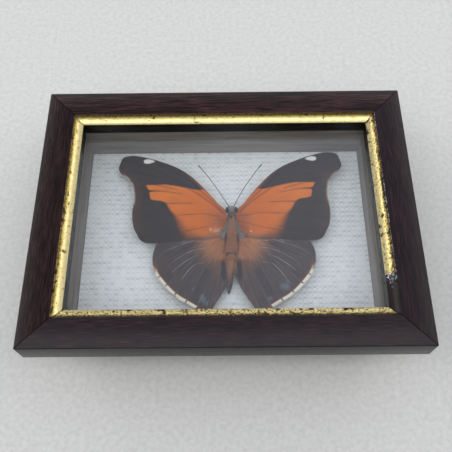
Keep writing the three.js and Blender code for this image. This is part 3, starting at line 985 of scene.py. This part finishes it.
def buildWing(kind, label, wing, side, lift, finish):
    name = kind + "_" + label
    margin = curveThrough(wing["margin"], False)
    outline = wing["edge"] + [p[:2] for p in wing["margin"]] + wing["hind"]
    rim = evenly(curveThrough(outline, True), wing["spacing"])
    tips = np.array([vein[-1] for vein in wing["veins"]], float)
    middle = np.array(wing["middle"], float)

    # the margin is nicked where each vein ends
    fromMargin, _ = nearest(rim, margin)
    fromTip = np.min(np.hypot(*(rim[:, None] - tips[None]).transpose(2, 0, 1)), axis=1)
    inward = middle - rim
    inward /= np.hypot(*inward.T)[:, None]
    nick = wing["notch"] * np.exp(-(fromTip / 0.55) ** 2) * (fromMargin < 0.4)
    rim = rim + inward * nick[:, None]

    bpy.ops.object.select_all(action="DESELECT")
    bpy.ops.mesh.primitive_circle_add(vertices=len(rim), radius=10 * mm, fill_type="NOTHING")
    obj = started(name + ".scaled")
    movePoints(obj, np.column_stack([rim * mm, np.zeros(len(rim))]))
    editAll(obj)
    centre = (wing["middle"][0] * mm, wing["middle"][1] * mm, 0)
    for ring in range(1, wing["rings"]):
        shrink = (wing["rings"] - ring) / (wing["rings"] - ring + 1)
        bpy.ops.mesh.extrude_region_move()
        bpy.ops.transform.resize(value=(shrink, shrink, 1), center_override=centre)
    bpy.ops.mesh.merge(type="CENTER")
    doneEditing()

    # how far each point lies from veins, markings and margin
    points = pointsOf(obj)
    spots = points[:, :2] / mm
    fromVein = np.min([nearest(spots, curveThrough(v, False, 6))[0] for v in wing["veins"]], axis=0)
    fromMargin, place = nearest(spots, margin)
    paint(obj, "vein", fromVein)
    paint(obj, "margin", fromMargin)
    paint(obj, "fringe", place[:, 2])
    gaps = nearest(tips, margin)[1][:, :2]
    paint(obj, "veinTip", np.min(np.hypot(*(place[:, None, :2] - gaps[None]).transpose(2, 0, 1)), axis=1))
    root = np.array(specimenSet["root"])
    paint(obj, "root", np.hypot(*(spots - root).T))
    lead = curveThrough(wing["edge"], False)
    paint(obj, "lead", nearest(spots, lead)[0])
    bare = [np.hypot(*(spots - place[:2]).T) / place[2] for place in np.array(wing["rubbed"][label])]
    paint(obj, "bare", np.min(bare, axis=0))
    dip = np.zeros(len(spots))
    if "paleLines" in wing:
        lines = [nearest(spots, curveThrough(line, False, 6))[0] for line in wing["paleLines"]]
        paint(obj, "paleLine", np.min(lines, axis=0))
        dip = np.exp(-((spots[:, 0] - wing["fold"][label]) / 1.5) ** 2)
        dip *= np.interp(spots[:, 1], [-34, -30, -21, -18], [0, 1, 1, 0])
        paint(obj, "fold", dip)
        paint(obj, "flush", np.hypot(*(spots - specimenSet["flushFrom"]).T))
        paint(obj, "inner", spots[:, 0] + 0.12 * (spots[:, 1] + 24))
    if "band" in wing:
        gap, where = signedTo(spots, wing["band"])
        paint(obj, "band", np.clip(gap / where[:, 2], -8, 8))
        paint(obj, "spot", signedTo(spots, wing["spot"])[0])
        dusk = np.exp(-(nearest(spots, rim, True)[0] / 2.4) ** 2)
        dusk = dusk * np.interp(spots[:, 1], [-6, -1], [1, 0]) * np.interp(spots[:, 0], [16, 28], [1, 0])
        paint(obj, "dusk", dusk)

    # arched membrane, stiffened along its veins and sagging between them
    arch = specimenSet["arch"] * np.sin(np.pi * np.minimum(1, spots[:, 0] / 60))
    sag = specimenSet["sag"] * (1 - np.exp(-(fromVein / 1.5) ** 2))
    ridge = specimenSet["ridge"] * np.exp(-(fromVein / 0.35) ** 2)
    points[:, 2] = lift + arch - sag + ridge - specimenSet["foldDepth"] * dip
    points[:, 0] *= side * wing["stretch"][label]
    movePoints(obj, points)
    editAll(obj)
    faceOutward()
    corners = cornersOf(obj)
    fan = corners[:, :2] / mm * (side, 1) - root
    unwrap(obj, "scales", np.arctan2(fan[:, 1], fan[:, 0]), np.hypot(*fan.T) * mm)
    finishWith(obj, "SOLIDIFY", thickness=wing["skin"], offset=0)
    smoothed(obj, 60)
    settleSpecimen(obj, "wing", finish, name)


wingColours = {
    "black": (0.016, 0.011, 0.011),
    "brown": (0.050, 0.027, 0.019),
    "orange": (0.655, 0.143, 0.0036),
    "amber": (0.75, 0.192, 0.0115),
    "rust": (0.46, 0.115, 0.018),
    "veinRust": (0.20, 0.045, 0.012),
    "costa": (0.38, 0.115, 0.055),
    "dusk": (0.24, 0.115, 0.065),
    "white": (0.90, 0.88, 0.84),
    "cream": (0.80, 0.74, 0.62),
    "hem": (0.46, 0.37, 0.28),
    "grey": (0.066, 0.049, 0.051),
    "smoke": (0.040, 0.031, 0.036),
    "flush": (0.52, 0.20, 0.072),
    "redLine": (0.17, 0.055, 0.030),
    # streak: pale lines, a painted highlight on the raised veins and pale hair beside them
    "streak": (0.34, 0.30, 0.285),
    "blue": (0.19, 0.25, 0.32),
    "bone": (0.86, 0.74, 0.54),
    "foldShade": (0.012, 0.017, 0.027),
}


def wingRows(tree):
    place = surfaceMap(tree, "scales")
    return useEffect(tree, scaleRows, Around=place[0], Out=place[1])


def dye(tree, amount, colour, pigment):
    return mixColour(tree, amount, colour, wingColours[pigment])


def addFringe(tree, colour, rows, width, pale):
    # pale fringe in beads between the vein ends
    jitter = swing(tree, rows["Scale"], 0.5)
    edge = plus(tree, painted(tree, "margin"), jitter)
    mask = ramp(tree, edge, width - 0.25, width + 0.15, 1.0, 0.0)
    mask = times(tree, mask, byMark(tree, "veinTip", 0.22, 0.6))
    mask = times(tree, mask, ramp(tree, plus(tree, painted(tree, "fringe"), jitter), 0.3, 0.75))
    return dye(tree, mask, colour, pale)


def rubbedAway(tree, rows, most):
    # ragged patches drawn out along the rows of scales
    loose = swing(tree, rows["Streak"], 3.2)
    ragged = plus(tree, loose, swing(tree, rows["Scale"], 1.4))
    return ramp(tree, plus(tree, painted(tree, "bare"), ragged), 0.3, 1.2, most, 0.0)


def forewingFinish():
    finish, tree, shader = newFinish("forewingScales", 0.7)
    shader.inputs["Specular IOR Level"].default_value = 0.25
    rows = wingRows(tree)
    feather = swing(tree, rows["Streak"], 2.2)
    speckle = swing(tree, rows["Scale"], 1.6)
    loose = plus(tree, feather, speckle)

    dark = dye(tree, byMark(tree, "margin", 1.0, 7.0), wingColours["brown"], "black")
    dark = dye(tree, ramp(tree, rows["Streak"], 0.45, 0.8, 0.0, 0.7), dark, "brown")
    warm = dye(tree, byMark(tree, "root", 14.0, 38.0), wingColours["orange"], "amber")
    warm = dye(tree, ramp(tree, rows["Cloud"], 0.35, 0.75, 0.0, 0.4), warm, "rust")
    warm = dye(tree, ramp(tree, rows["Scale"], 0.52, 0.8, 0.0, 0.6), warm, "rust")
    warm = dye(tree, byMark(tree, "root", 15.0, 3.0, 0.0, 0.8), warm, "rust")
    veins = byMark(tree, "vein", 0.1, 0.5, 0.75, 0.0)
    warm = dye(tree, veins, warm, "veinRust")
    warm = dye(tree, painted(tree, "dusk"), warm, "dusk")
    inBand = ramp(tree, plus(tree, painted(tree, "band"), loose), -1.0, 1.0)
    colour = mixColour(tree, inBand, dark, warm)
    edge = plus(tree, painted(tree, "lead"), times(tree, speckle, 0.25))
    costa = times(tree, ramp(tree, edge, 0.5, 1.5, 0.75, 0.0),
                  byMark(tree, "root", 22.0, 40.0, 1.0, 0.0))
    colour = dye(tree, costa, colour, "costa")
    inSpot = ramp(tree, plus(tree, painted(tree, "spot"), times(tree, loose, 0.35)), -0.3, 0.35)
    colour = dye(tree, inSpot, colour, "white")
    colour = dye(tree, rubbedAway(tree, rows, 1.0), colour, "bone")
    colour = addFringe(tree, colour, rows, 0.75, "hem")
    feed(tree, shader, Base_Color=colour)
    feed(tree, shader, Roughness=ramp(tree, rows["Scale"], 0.2, 0.8, 0.6, 0.8))
    raised(tree, shader, plus(tree, rows["Scale"], rows["Streak"]), 0.4, 0.06 * mm)
    return finish


def hindwingFinish():
    finish, tree, shader = newFinish("hindwingScales", 0.75)
    shader.inputs["Specular IOR Level"].default_value = 0.25
    rows = wingRows(tree)
    field = mixColour(tree, ramp(tree, rows["Cloud"], 0.35, 0.7), wingColours["grey"], wingColours["smoke"])
    ragged = times(tree, rows["Scale"], 1.5)
    rim = plus(tree, painted(tree, "margin"), ragged)
    field = dye(tree, ramp(tree, rim, 1.2, 4.6, 0.9, 0.0), field, "redLine")

    # warm hairs fan out from the root and run down beside the abdomen
    hairs = swing(tree, rows["Streak"], 15.0)
    flush = ramp(tree, plus(tree, painted(tree, "flush"), hairs), 4.5, 20.5, 1.0, 0.0)
    field = dye(tree, flush, field, "flush")
    combed = times(tree, byMark(tree, "inner", 5.0, 12.0, 0.65, 0.0),
                   ramp(tree, rows["Streak"], 0.48, 0.66))
    field = dye(tree, combed, field, "dusk")
    # painted highlight: the raised veins are lightened in the colour
    veins = times(tree, byMark(tree, "vein", 0.12, 0.4, 0.22, 0.0),
                  ramp(tree, rows["Cloud"], 0.4, 0.65))
    field = dye(tree, veins, field, "streak")
    # pale hair lines, with a painted highlight along them
    broken = ramp(tree, rows["Streak"], 0.3, 0.6, 0.45, 0.9)
    lines = times(tree, byMark(tree, "paleLine", 0.08, 0.30, 1.0, 0.0), broken)
    field = dye(tree, lines, field, "streak")
    # painted shade: the trough beside the abdomen is darkened in the colour
    field = dye(tree, byMark(tree, "fold", 0.25, 0.9, 0.0, 0.9), field, "foldShade")
    field = dye(tree, rubbedAway(tree, rows, 0.42), field, "blue")
    colour = addFringe(tree, field, rows, 1.6, "cream")
    feed(tree, shader, Base_Color=colour)
    feed(tree, shader, Roughness=ramp(tree, rows["Scale"], 0.2, 0.8, 0.65, 0.85))
    raised(tree, shader, plus(tree, rows["Scale"], rows["Streak"]), 0.4, 0.06 * mm)
    return finish


forewingScales = forewingFinish()
hindwingScales = hindwingFinish()
for label, side in (("left", -1), ("right", 1)):
    lift = specimenSet["wingLift"]
    buildWing("hindwing", label, hindwing, side, lift - specimenSet["wingStep"], hindwingScales)
    buildWing("forewing", label, forewing, side, lift, forewingScales)
print("wings: two pairs with veins, markings and fringe")


# body: a lofted core, eyes, feelers and legs, then its coat of hair

bodySet = {
    "sides": 28,
    # ahead of the pin, aside, height, half width, half height
    "stations": [(7.9, 0.2, 11.3, 0.5, 0.5), (7.4, 0.2, 11.5, 1.4, 1.4), (5.9, 0.2, 11.6, 1.9, 1.9),
                 (4.1, 0.2, 11.4, 1.3, 1.5), (3, 0.2, 11.2, 1.55, 2.0), (0.5, 0.2, 11, 1.9, 3.0),
                 (-2, 0.2, 11, 2.5, 3.4), (-4.5, 0.2, 11, 3.0, 3.5), (-7, 0.2, 11, 3.3, 3.3),
                 (-9.5, 0, 10.9, 3.1, 3.0), (-12.5, -0.2, 10.7, 3.3, 2.9), (-15.5, -0.4, 10.6, 3.8, 2.8),
                 (-17.4, -0.5, 10.4, 3.6, 2.6), (-18.3, -0.5, 10.3, 2.8, 2.2), (-19.5, -0.5, 10.2, 3.1, 2.4),
                 (-21.2, -0.6, 10.1, 2.8, 2.4), (-23.5, -0.9, 10, 2.0, 2.3), (-27, -1.1, 9.6, 1.65, 2.0),
                 (-33, -1.4, 9.2, 1.4, 1.6),
                 (-36.4, -1.8, 8.9, 0.95, 1.15), (-38.4, -2, 8.8, 0.35, 0.45)],
    # shoulder lobes over the wing hinges: out, ahead, height, half width, half height
    "shoulder": [(1.6, -0.4, 13.0, 0.3, 0.25), (2.0, -2.0, 13.2, 0.75, 0.5), (2.7, -4.6, 13.0, 0.95, 0.6),
                 (3.3, -7.2, 12.5, 0.95, 0.6), (3.9, -9.0, 12.0, 0.4, 0.3)],
    "ringGap": 0.7,
    "aside": 0.2,      # the head and thorax stand a little to the right
    "segments": 3.4,   # length of one abdomen segment
    "palp": [(7.0, 0.7), (7.7, 0.62), (8.3, 0.42), (8.7, 0.15)],   # ahead, half width
    "palpHeight": 11,
    "eyePlace": (2.1, 6.0, 11.8),
    "eyeHalf": (1.3, 1.6, 1.65),
    "feeler": [(0.9, 6.8, 12.8), (4.4, 13.6, 12.7), (8.2, 20.3, 12.4), (12.3, 26.8, 12.1),
               (16.6, 32.9, 11.8)],
    "feelerRadius": 0.19,
    "legs": [
        [(1.6, 2.0, 8.6), (4.0, 4.2, 8.2), (5.8, 1.6, 7.4), (6.4, -1.0, 6.8)],
        [(2.0, -1.0, 8.0), (7.2, -1.8, 8.0), (8.8, -6.0, 7.2), (9.2, -9.0, 6.8)],
        [(1.8, -4.4, 8.0), (6.0, -8.0, 7.9), (6.6, -13.4, 7.2), (6.2, -17.0, 6.8)],
    ],
    "legRadius": 0.22,
}


def bodyPath():
    stations = curveThrough(bodySet["stations"], False, 10)
    ahead = np.arange(stations[0, 0], stations[-1, 0], -bodySet["ringGap"])
    order = np.argsort(stations[:, 0])
    rows = [np.interp(ahead, stations[order, 0], stations[order, k]) for k in range(1, 5)]
    return np.column_stack([ahead] + rows)


def loft(name, sides, rings, facing):
    # rings are (centre, half sizes); the end face is drawn out from one to the next
    bpy.ops.object.select_all(action="DESELECT")
    bpy.ops.mesh.primitive_circle_add(vertices=sides, radius=1 * mm, fill_type="NGON",
                                      location=rings[0][0], rotation=facing)
    obj = started(name)
    applyPlace()
    editAll(obj)
    last = Vector(rings[0][0])
    size = Vector((1 * mm,) * 3)
    for number, (centre, half) in enumerate(rings):
        centre = Vector(centre)
        half = Vector(half)
        if number:
            bpy.ops.mesh.extrude_region_move(TRANSFORM_OT_translate={"value": centre - last})
        scale = [half[k] / size[k] for k in range(3)]
        bpy.ops.transform.resize(value=scale, center_override=centre)
        last = centre
        size = half
    faceOutward()
    return obj


def addStalk(name, points, radii):
    # a bent stalk from a bevelled curve
    bpy.ops.object.select_all(action="DESELECT")
    bpy.ops.curve.primitive_bezier_curve_add(location=(0, 0, 0))
    stalk = started(name)
    data = stalk.data
    data.bevel_depth = 1 * mm
    data.bevel_resolution = 3
    data.resolution_u = 10
    data.use_fill_caps = True
    spline = data.splines[0]
    spline.bezier_points.add(len(points) - 2)
    for point, place, radius in zip(spline.bezier_points, points, radii):
        point.co = Vector(place) * mm
        point.handle_left_type = "AUTO"
        point.handle_right_type = "AUTO"
        point.radius = radius
    select(stalk)
    bpy.ops.object.convert(target="MESH")
    return bpy.context.active_object


def joined(name, parts):
    bpy.ops.object.select_all(action="DESELECT")
    for part in parts:
        part.select_set(True)
    bpy.context.view_layer.objects.active = parts[0]
    bpy.ops.object.join()
    whole = started(name)
    editAll(whole)
    faceOutward()
    return whole


bodyColours = {
    # from the tail's tip to the face, by how far ahead of the pin; the dark stop at -18.3 is a painted
    # shadow in the crease where the thorax's hair ends
    "run": [(-40, (0.05, 0.05, 0.055)), (-35.5, (0.06, 0.056, 0.058)), (-32, (0.16, 0.09, 0.065)),
            (-27, (0.42, 0.185, 0.10)), (-21, (0.60, 0.26, 0.12)), (-19.2, (0.56, 0.23, 0.105)),
            (-18.3, (0.06, 0.04, 0.035)), (-17.4, (0.60, 0.25, 0.12)), (-12, (0.62, 0.265, 0.125)),
            (-7, (0.66, 0.32, 0.17)), (-3, (0.64, 0.37, 0.21)), (1.5, (0.60, 0.33, 0.17)),
            (3.6, (0.16, 0.13, 0.115)), (5.4, (0.40, 0.41, 0.42)), (10, (0.56, 0.57, 0.58))],
    "flank": (0.06, 0.052, 0.05),
    "tuft": (0.40, 0.385, 0.36),
    "ember": (0.60, 0.17, 0.035),
    "shade": (0.025, 0.018, 0.016),
    "eye": (0.012, 0.011, 0.011),
    "eyePale": (0.05, 0.047, 0.045),
    "limb": (0.006, 0.005, 0.005),
    "limbPale": (0.024, 0.018, 0.015),
}


def bodyTone(tree, shade):
    runs = [run for run, _ in bodyColours["run"]]
    inputs = {"Value": painted(tree, "run"), "From Min": runs[0], "From Max": runs[-1]}
    place = addNode(tree, "ShaderNodeMapRange", inputs).outputs[0]
    node = addNode(tree, "ShaderNodeValToRGB", {0: place})
    bands = node.color_ramp.elements
    for _ in runs[2:]:
        bands.new(0.5)
    for band, (run, colour) in zip(bands, bodyColours["run"]):
        band.position = (run - runs[0]) / (runs[-1] - runs[0])
        band.color = solid(colour)
    side = times(tree, byMark(tree, "flank", 0.58, 0.85, 0.0, 0.92),
                 byMark(tree, "run", -14.0, -8.0, 0.35, 1.0))
    side = times(tree, side, byMark(tree, "run", 3.0, 5.0, 1.0, 0.0))
    colour = mixColour(tree, side, node.outputs[0], bodyColours["flank"])
    colour = mixColour(tree, painted(tree, "pale"), colour, bodyColours["tuft"])
    colour = mixColour(tree, painted(tree, "ember"), colour, bodyColours["ember"])
    return mixColour(tree, shade, colour, bodyColours["shade"])


def coreFinish():
    finish, tree, shader = newFinish("bodyCore", 0.7)
    bumpy = noise(tree, objectPlace(tree), 2500.0, 3.0)
    feed(tree, shader, Base_Color=bodyTone(tree, ramp(tree, bumpy, 0.3, 0.7, 0.1, 0.6)))
    feed(tree, shader, Roughness=ramp(tree, bumpy, 0.2, 0.8, 0.55, 0.85))
    raised(tree, shader, bumpy, 0.5, 0.15 * mm)
    return finish


def hairFinish():
    finish, tree, shader = newFinish("bodyHair", 0.6)
    feed(tree, shader, Base_Color=bodyTone(tree, byMark(tree, "tone", 0.55, 1.0, 0.0, 0.8)))
    feed(tree, shader, Roughness=byMark(tree, "tone", 0.0, 1.0, 0.5, 0.75))
    return finish


def hornFinish(name, dark, pale):
    # feelers, legs and eyes: dark horn with a faint mottle
    finish, tree, shader = newFinish(name, 0.35)
    mottle = noise(tree, objectPlace(tree), 3000.0, 3.0)
    feed(tree, shader, Base_Color=mixColour(tree, ramp(tree, mottle, 0.35, 0.7), dark, pale))
    feed(tree, shader, Roughness=ramp(tree, mottle, 0.2, 0.8, 0.25, 0.5))
    raised(tree, shader, mottle, 0.3, 0.03 * mm)
    return finish


def bodyPlace(points):
    # how far ahead, arched back at the sides; and 0 on the back's midline to 1 at the body's side
    path = bodyPath()[::-1]
    aside = points[:, 0] - np.interp(points[:, 1], path[:, 0], path[:, 1])
    arched = points[:, 1] + 0.09 * np.minimum(aside ** 2, 12)
    return arched, np.abs(aside) / np.interp(points[:, 1], path[:, 0], path[:, 3])


def paintBody(obj):
    run, flank = bodyPlace(pointsOf(obj) / mm)
    paint(obj, "run", run)
    paint(obj, "flank", flank)


def buildBody():
    rings = []
    for ahead, aside, height, wide, tall in bodyPath():
        belly = 1.0
        if ahead < -9:
            belly -= 0.07 * abs(math.sin(math.pi * ahead / bodySet["segments"])) ** 4
        half = (wide * belly * mm, 1 * mm, tall * belly * mm)
        rings.append(((aside * mm, ahead * mm, height * mm), half))
    core = loft("body.core", bodySet["sides"], rings, (math.pi / 2, 0, 0))
    palps = []
    for side in (-1, 1):
        out = side * 0.6 + bodySet["aside"]
        rings = [((out * mm, ahead * mm, bodySet["palpHeight"] * mm), (half * mm, 1 * mm, half * mm))
                 for ahead, half in bodySet["palp"]]
        palps.append(loft("palp", 12, rings, (math.pi / 2, 0, 0)))
    core = joined("body.core", [core] + palps)
    finishWith(core, "SUBSURF", levels=1, render_levels=1)
    paintBody(core)
    smoothed(core, 70)
    return core


def buildShoulders():
    lobes = []
    for side in (-1, 1):
        steps = curveThrough(bodySet["shoulder"], False, 5)
        rings = [(((side * out + bodySet["aside"]) * mm, ahead * mm, height * mm),
                  (wide * mm, 1 * mm, tall * mm)) for out, ahead, height, wide, tall in steps]
        lobes.append(loft("lobe", 14, rings, (math.pi / 2, 0, 0)))
    lobes = joined("body.shoulders", lobes)
    paintBody(lobes)
    paint(lobes, "pale", np.full(len(lobes.data.vertices), 0.6))
    smoothed(lobes, 70)
    return lobes


def buildEyes():
    eyes = []
    aside = bodySet["aside"]
    out, ahead, height = bodySet["eyePlace"]
    for side in (-1, 1):
        bpy.ops.object.select_all(action="DESELECT")
        bpy.ops.mesh.primitive_uv_sphere_add(segments=32, ring_count=20, radius=1 * mm,
                                             location=((side * out + aside) * mm, ahead * mm, height * mm))
        eye = started("eye")
        eye.scale = bodySet["eyeHalf"]
        applyPlace()
        pickEdges(eye, lambda p: side * (p.x - aside * mm) > 1.5 * mm)
        bpy.ops.transform.resize(value=(0.92, 1, 1), center_override=((side * 1.5 + aside) * mm, 0, 0))
        doneEditing()
        eyes.append(eye)
    return joined("body.eyes", eyes)


def buildLimbs():
    limbs = []
    for side in (-1, 1):
        feeler = [(side * x + bodySet["aside"] * (x < 2), y, z) for x, y, z in bodySet["feeler"]]
        thin = bodySet["feelerRadius"]
        limbs.append(addStalk("feeler", feeler, [thin * 1.2, thin, thin, thin * 1.1, thin * 1.3]))
        out = Vector(feeler[-1]) - Vector(feeler[-2])
        out.normalize()
        tip = Vector(feeler[-1])
        club = [tip - out * 2.2, tip - out * 1.2, tip, tip + out * 0.6]   # slim club
        limbs.append(addStalk("club", club, [thin * 1.1, thin * 1.6, thin * 1.7, thin * 0.6]))
        for leg in bodySet["legs"]:
            places = [(side * x, y, z) for x, y, z in leg]
            thick = bodySet["legRadius"]
            limbs.append(addStalk("leg", places, [thick * 1.5, thick * 1.2, thick, thick * 0.6]))
    return joined("body.limbs", limbs)


def surfaceSample(obj, count, weight):
    # random places on a mesh, with the face normals there
    mesh = obj.data
    mesh.calc_loop_triangles()
    tris = np.array([t.vertices for t in mesh.loop_triangles])
    points = pointsOf(obj)[tris] / mm
    normals = np.cross(points[:, 1] - points[:, 0], points[:, 2] - points[:, 0])
    area = np.linalg.norm(normals, axis=1)
    chance = area * weight(points.mean(1))
    picked = rng.choice(len(tris), count, p=chance / chance.sum())
    share = rng.dirichlet((1, 1, 1), count)
    return (points[picked] * share[:, :, None]).sum(1), normals[picked] / area[picked][:, None]


def growHair(name, roots, leans, lengths, thick, curl):
    # tapered three-sided hairs, each bent once; all lengths in mm
    count = len(roots)
    leans = leans / np.linalg.norm(leans, axis=1)[:, None]
    side = np.cross(leans, rng.normal(size=(count, 3)))
    side /= np.linalg.norm(side, axis=1)[:, None]
    other = np.cross(leans, side)
    bend = leans + curl * rng.normal(size=(count, 3))
    bend /= np.linalg.norm(bend, axis=1)[:, None]
    knee = roots + leans * lengths[:, None] * 0.5
    tip = knee + bend * lengths[:, None] * 0.5
    rings = []
    for base, radius in ((roots, thick), (knee, thick * 0.75)):
        for turn in (0, 2.094, 4.189):
            rings.append(base + radius * (math.cos(turn) * side + math.sin(turn) * other))
    points = np.stack(rings + [tip], axis=1).reshape(-1, 3) * mm
    pattern = [(0, 2, 1), (0, 1, 4, 3), (1, 2, 5, 4), (2, 0, 3, 5), (3, 4, 6), (4, 5, 6), (5, 3, 6)]
    faces = [tuple(7 * i + k for k in face) for i in range(count) for face in pattern]
    mesh = bpy.data.meshes.new(name)
    mesh.from_pydata(points, [], faces)
    coat = addObject(name, mesh)
    run, flank = bodyPlace(roots)
    paint(coat, "run", np.repeat(run, 7))
    paint(coat, "tone", np.repeat(rng.random(count), 7))
    paint(coat, "flank", np.repeat(flank, 7))
    return coat


coatSet = {
    "bodyHairs": 12000,
    "shoulderHairs": 1500,
    "tuftHairs": 500,
    "thick": 0.06,
    # length and how flat the hairs lie, by how far ahead of the pin
    "lengths": [(-39, 0.6), (-34, 0.6), (-23, 0.9), (-20, 1.9), (-18.4, 0.4), (-17, 1.4), (-8, 1.7),
                (-2, 1.3), (4, 1.2), (7, 0.8), (10, 0.6)],
    "lie": [(-39, 1.9), (-10, 1.6), (3, 0.9), (8, -0.5)],
}
# coats on the wings: over the hindwing roots, long hairs beside the abdomen, over the forewing roots
lyingSet = {
    "hindwing.coat": {"count": 2600, "out": (2.4, 9), "ahead": (-19.5, -8), "angle": (-1.15, -0.35),
                      "length": (4, 7), "spread": 0.3, "thick": 1, "curl": 0.06,
                      "run": -15, "ember": 0.1},
    "hindwing.combed": {"count": 260, "out": (5.6, 11), "ahead": (-29, -18), "angle": (-1.5, -1.2),
                        "length": (7, 9), "spread": 0.07, "thick": 0.45, "curl": 0.03,
                        "run": -31, "ember": 0},
    "forewing.coat": {"count": 1300, "out": (2.2, 13), "ahead": (-9.4, 3.5), "angle": (-0.85, 0.5),
                      "length": (2.5, 3.5), "spread": 0.3, "thick": 0.8, "curl": 0.08,
                      "run": -15, "ember": 0.8},
}


def bodyCoat(core):
    def weight(middle):
        return np.where(middle[:, 1] > -22, 1.6, 0.8) * np.where(middle[:, 2] < 9, 0.4, 1)
    roots, normals = surfaceSample(core, coatSet["bodyHairs"], weight)
    ahead = roots[:, 1]
    length = np.interp(ahead, *np.transpose(coatSet["lengths"]))
    length *= rng.uniform(0.6, 1.25, len(roots))
    lie = np.interp(ahead, *np.transpose(coatSet["lie"]))
    leans = normals + np.column_stack([np.zeros(len(roots)), -lie, np.zeros(len(roots))])
    leans += 0.35 * rng.normal(size=leans.shape)
    return growHair("body.coat", roots - 0.1 * normals, leans, length, coatSet["thick"], 0.35)


def shoulderCoat(lobes):
    roots, normals = surfaceSample(lobes, coatSet["shoulderHairs"], lambda middle: np.ones(len(middle)))
    length = rng.uniform(0.6, 1.3, len(roots))
    back = np.column_stack([0.3 * np.sign(roots[:, 0]), np.full(len(roots), -1.8), np.zeros(len(roots))])
    coat = growHair("body.shoulderCoat", roots, normals + back, length, coatSet["thick"], 0.3)
    paint(coat, "pale", np.full(len(coat.data.vertices), 0.85))
    return coat


def lyingHairs(coat, height):
    # hairs that lie along the wings on both sides, thinning out from the body
    count = coat["count"]
    side = rng.choice((-1.0, 1.0), count)
    ahead = rng.uniform(*coat["ahead"], count)
    share = (ahead - coat["ahead"][0]) / np.ptp(coat["ahead"])
    out = coat["out"][0] + np.ptp(coat["out"]) * rng.beta(1, 2, count)
    angle = coat["angle"][0] + np.ptp(coat["angle"]) * share + coat["spread"] * rng.normal(size=count)
    length = (coat["length"][0] + np.ptp(coat["length"]) * share) * rng.uniform(0.4, 1.1, count)
    roots = np.column_stack([side * out - 0.4, ahead, height + rng.uniform(0, 0.35, count)])
    leans = np.column_stack([side * np.cos(angle), np.sin(angle), np.full(count, 0.02)])
    return roots, leans, length


def wingCoats():
    top = specimenSet["wingLift"] / mm + 0.2
    under = top - specimenSet["wingStep"] / mm
    laid = [lyingHairs(coat, under if name.startswith("hind") else top) for name, coat in lyingSet.items()]
    coats = []
    for (name, coat), hairs in zip(lyingSet.items(), laid):
        grown = growHair(name, *hairs, coat["thick"] * coatSet["thick"], coat["curl"])
        count = len(grown.data.vertices)
        repaint(grown, "run", np.full(count, coat["run"]))
        repaint(grown, "flank", np.zeros(count))
        paint(grown, "ember", np.full(count, coat["ember"]))
        coats.append(grown)
    return coats


def tufts():
    # grey tufts behind the shoulder lobes
    count = coatSet["tuftHairs"]
    side = rng.choice((-1.0, 1.0), count)
    out = 3.9 + 0.6 * rng.normal(size=count)
    ahead = -8.0 + 0.8 * rng.normal(size=count)
    top = specimenSet["wingLift"] / mm + rng.uniform(0.1, 1.0, count)
    angle = -0.5 + 0.4 * rng.normal(size=count)
    leans = np.column_stack([side * np.cos(angle), np.sin(angle), rng.uniform(0, 0.25, count)])
    length = rng.uniform(1.2, 3.2, count)
    roots = np.column_stack([side * out + bodySet["aside"], ahead, top])
    tuft = growHair("hinge.tufts", roots, leans, length, coatSet["thick"], 0.3)
    paint(tuft, "pale", np.full(len(tuft.data.vertices), 0.8))
    return tuft


bodyCore = buildBody()
lobes = buildShoulders()
coats = [bodyCoat(bodyCore), shoulderCoat(lobes), tufts()] + wingCoats()
horn = coreFinish()
hairs = hairFinish()
settleSpecimen(bodyCore, "insect_body", horn, "body")
settleSpecimen(lobes, "insect_body", horn)
for coat in coats:
    settleSpecimen(coat, "insect_body", hairs)
eyeHorn = hornFinish("eyeHorn", bodyColours["eye"], bodyColours["eyePale"])
limbHorn = hornFinish("limbHorn", bodyColours["limb"], bodyColours["limbPale"])
for piece, finish in ((buildEyes(), eyeHorn), (buildLimbs(), limbHorn)):
    smoothed(piece, 70)
    settleSpecimen(piece, "insect_body", finish)
print("body: core, coat, eyes, feelers and legs")


# pin

pinSet = {
    "shaft": 0.25 * mm,
    "head": 0.6 * mm,
    "black": (0.010, 0.010, 0.011),
    "rubbed": (0.06, 0.058, 0.055),
}


def pinFinish():
    finish, tree, shader = newFinish("blackEnamel", 0.3)
    worn = useEffect(tree, wornFlecks, Place=objectPlace(tree), Size=0.5 * mm, Amount=0.25)
    feed(tree, shader, Base_Color=mixColour(tree, worn["Mask"], pinSet["black"], pinSet["rubbed"]))
    feed(tree, shader, Roughness=ramp(tree, worn["Tone"], 0.3, 0.7, 0.2, 0.45))
    return finish


def buildPin(finish):
    low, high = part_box("pin")
    x, y, _ = (low + high) / 2
    shaft = pinSet["shaft"]
    head = pinSet["head"]
    steps = [(low.z, 0.1 * shaft), (low.z + 1.5 * mm, shaft), (high.z - 2 * head, shaft)]
    for angle in range(-60, 90, 15):
        turn = math.radians(angle)
        steps.append((high.z - head + head * math.sin(turn), head * math.cos(turn)))
    pin = loft("pin.enamelled", 20, [((x, y, z), (r, r, 1 * mm)) for z, r in steps], (0, 0, 0))
    smoothed(pin, 50)
    settle(pin, "pin_steel", finish, "pin")


buildPin(pinFinish())
print("pin")
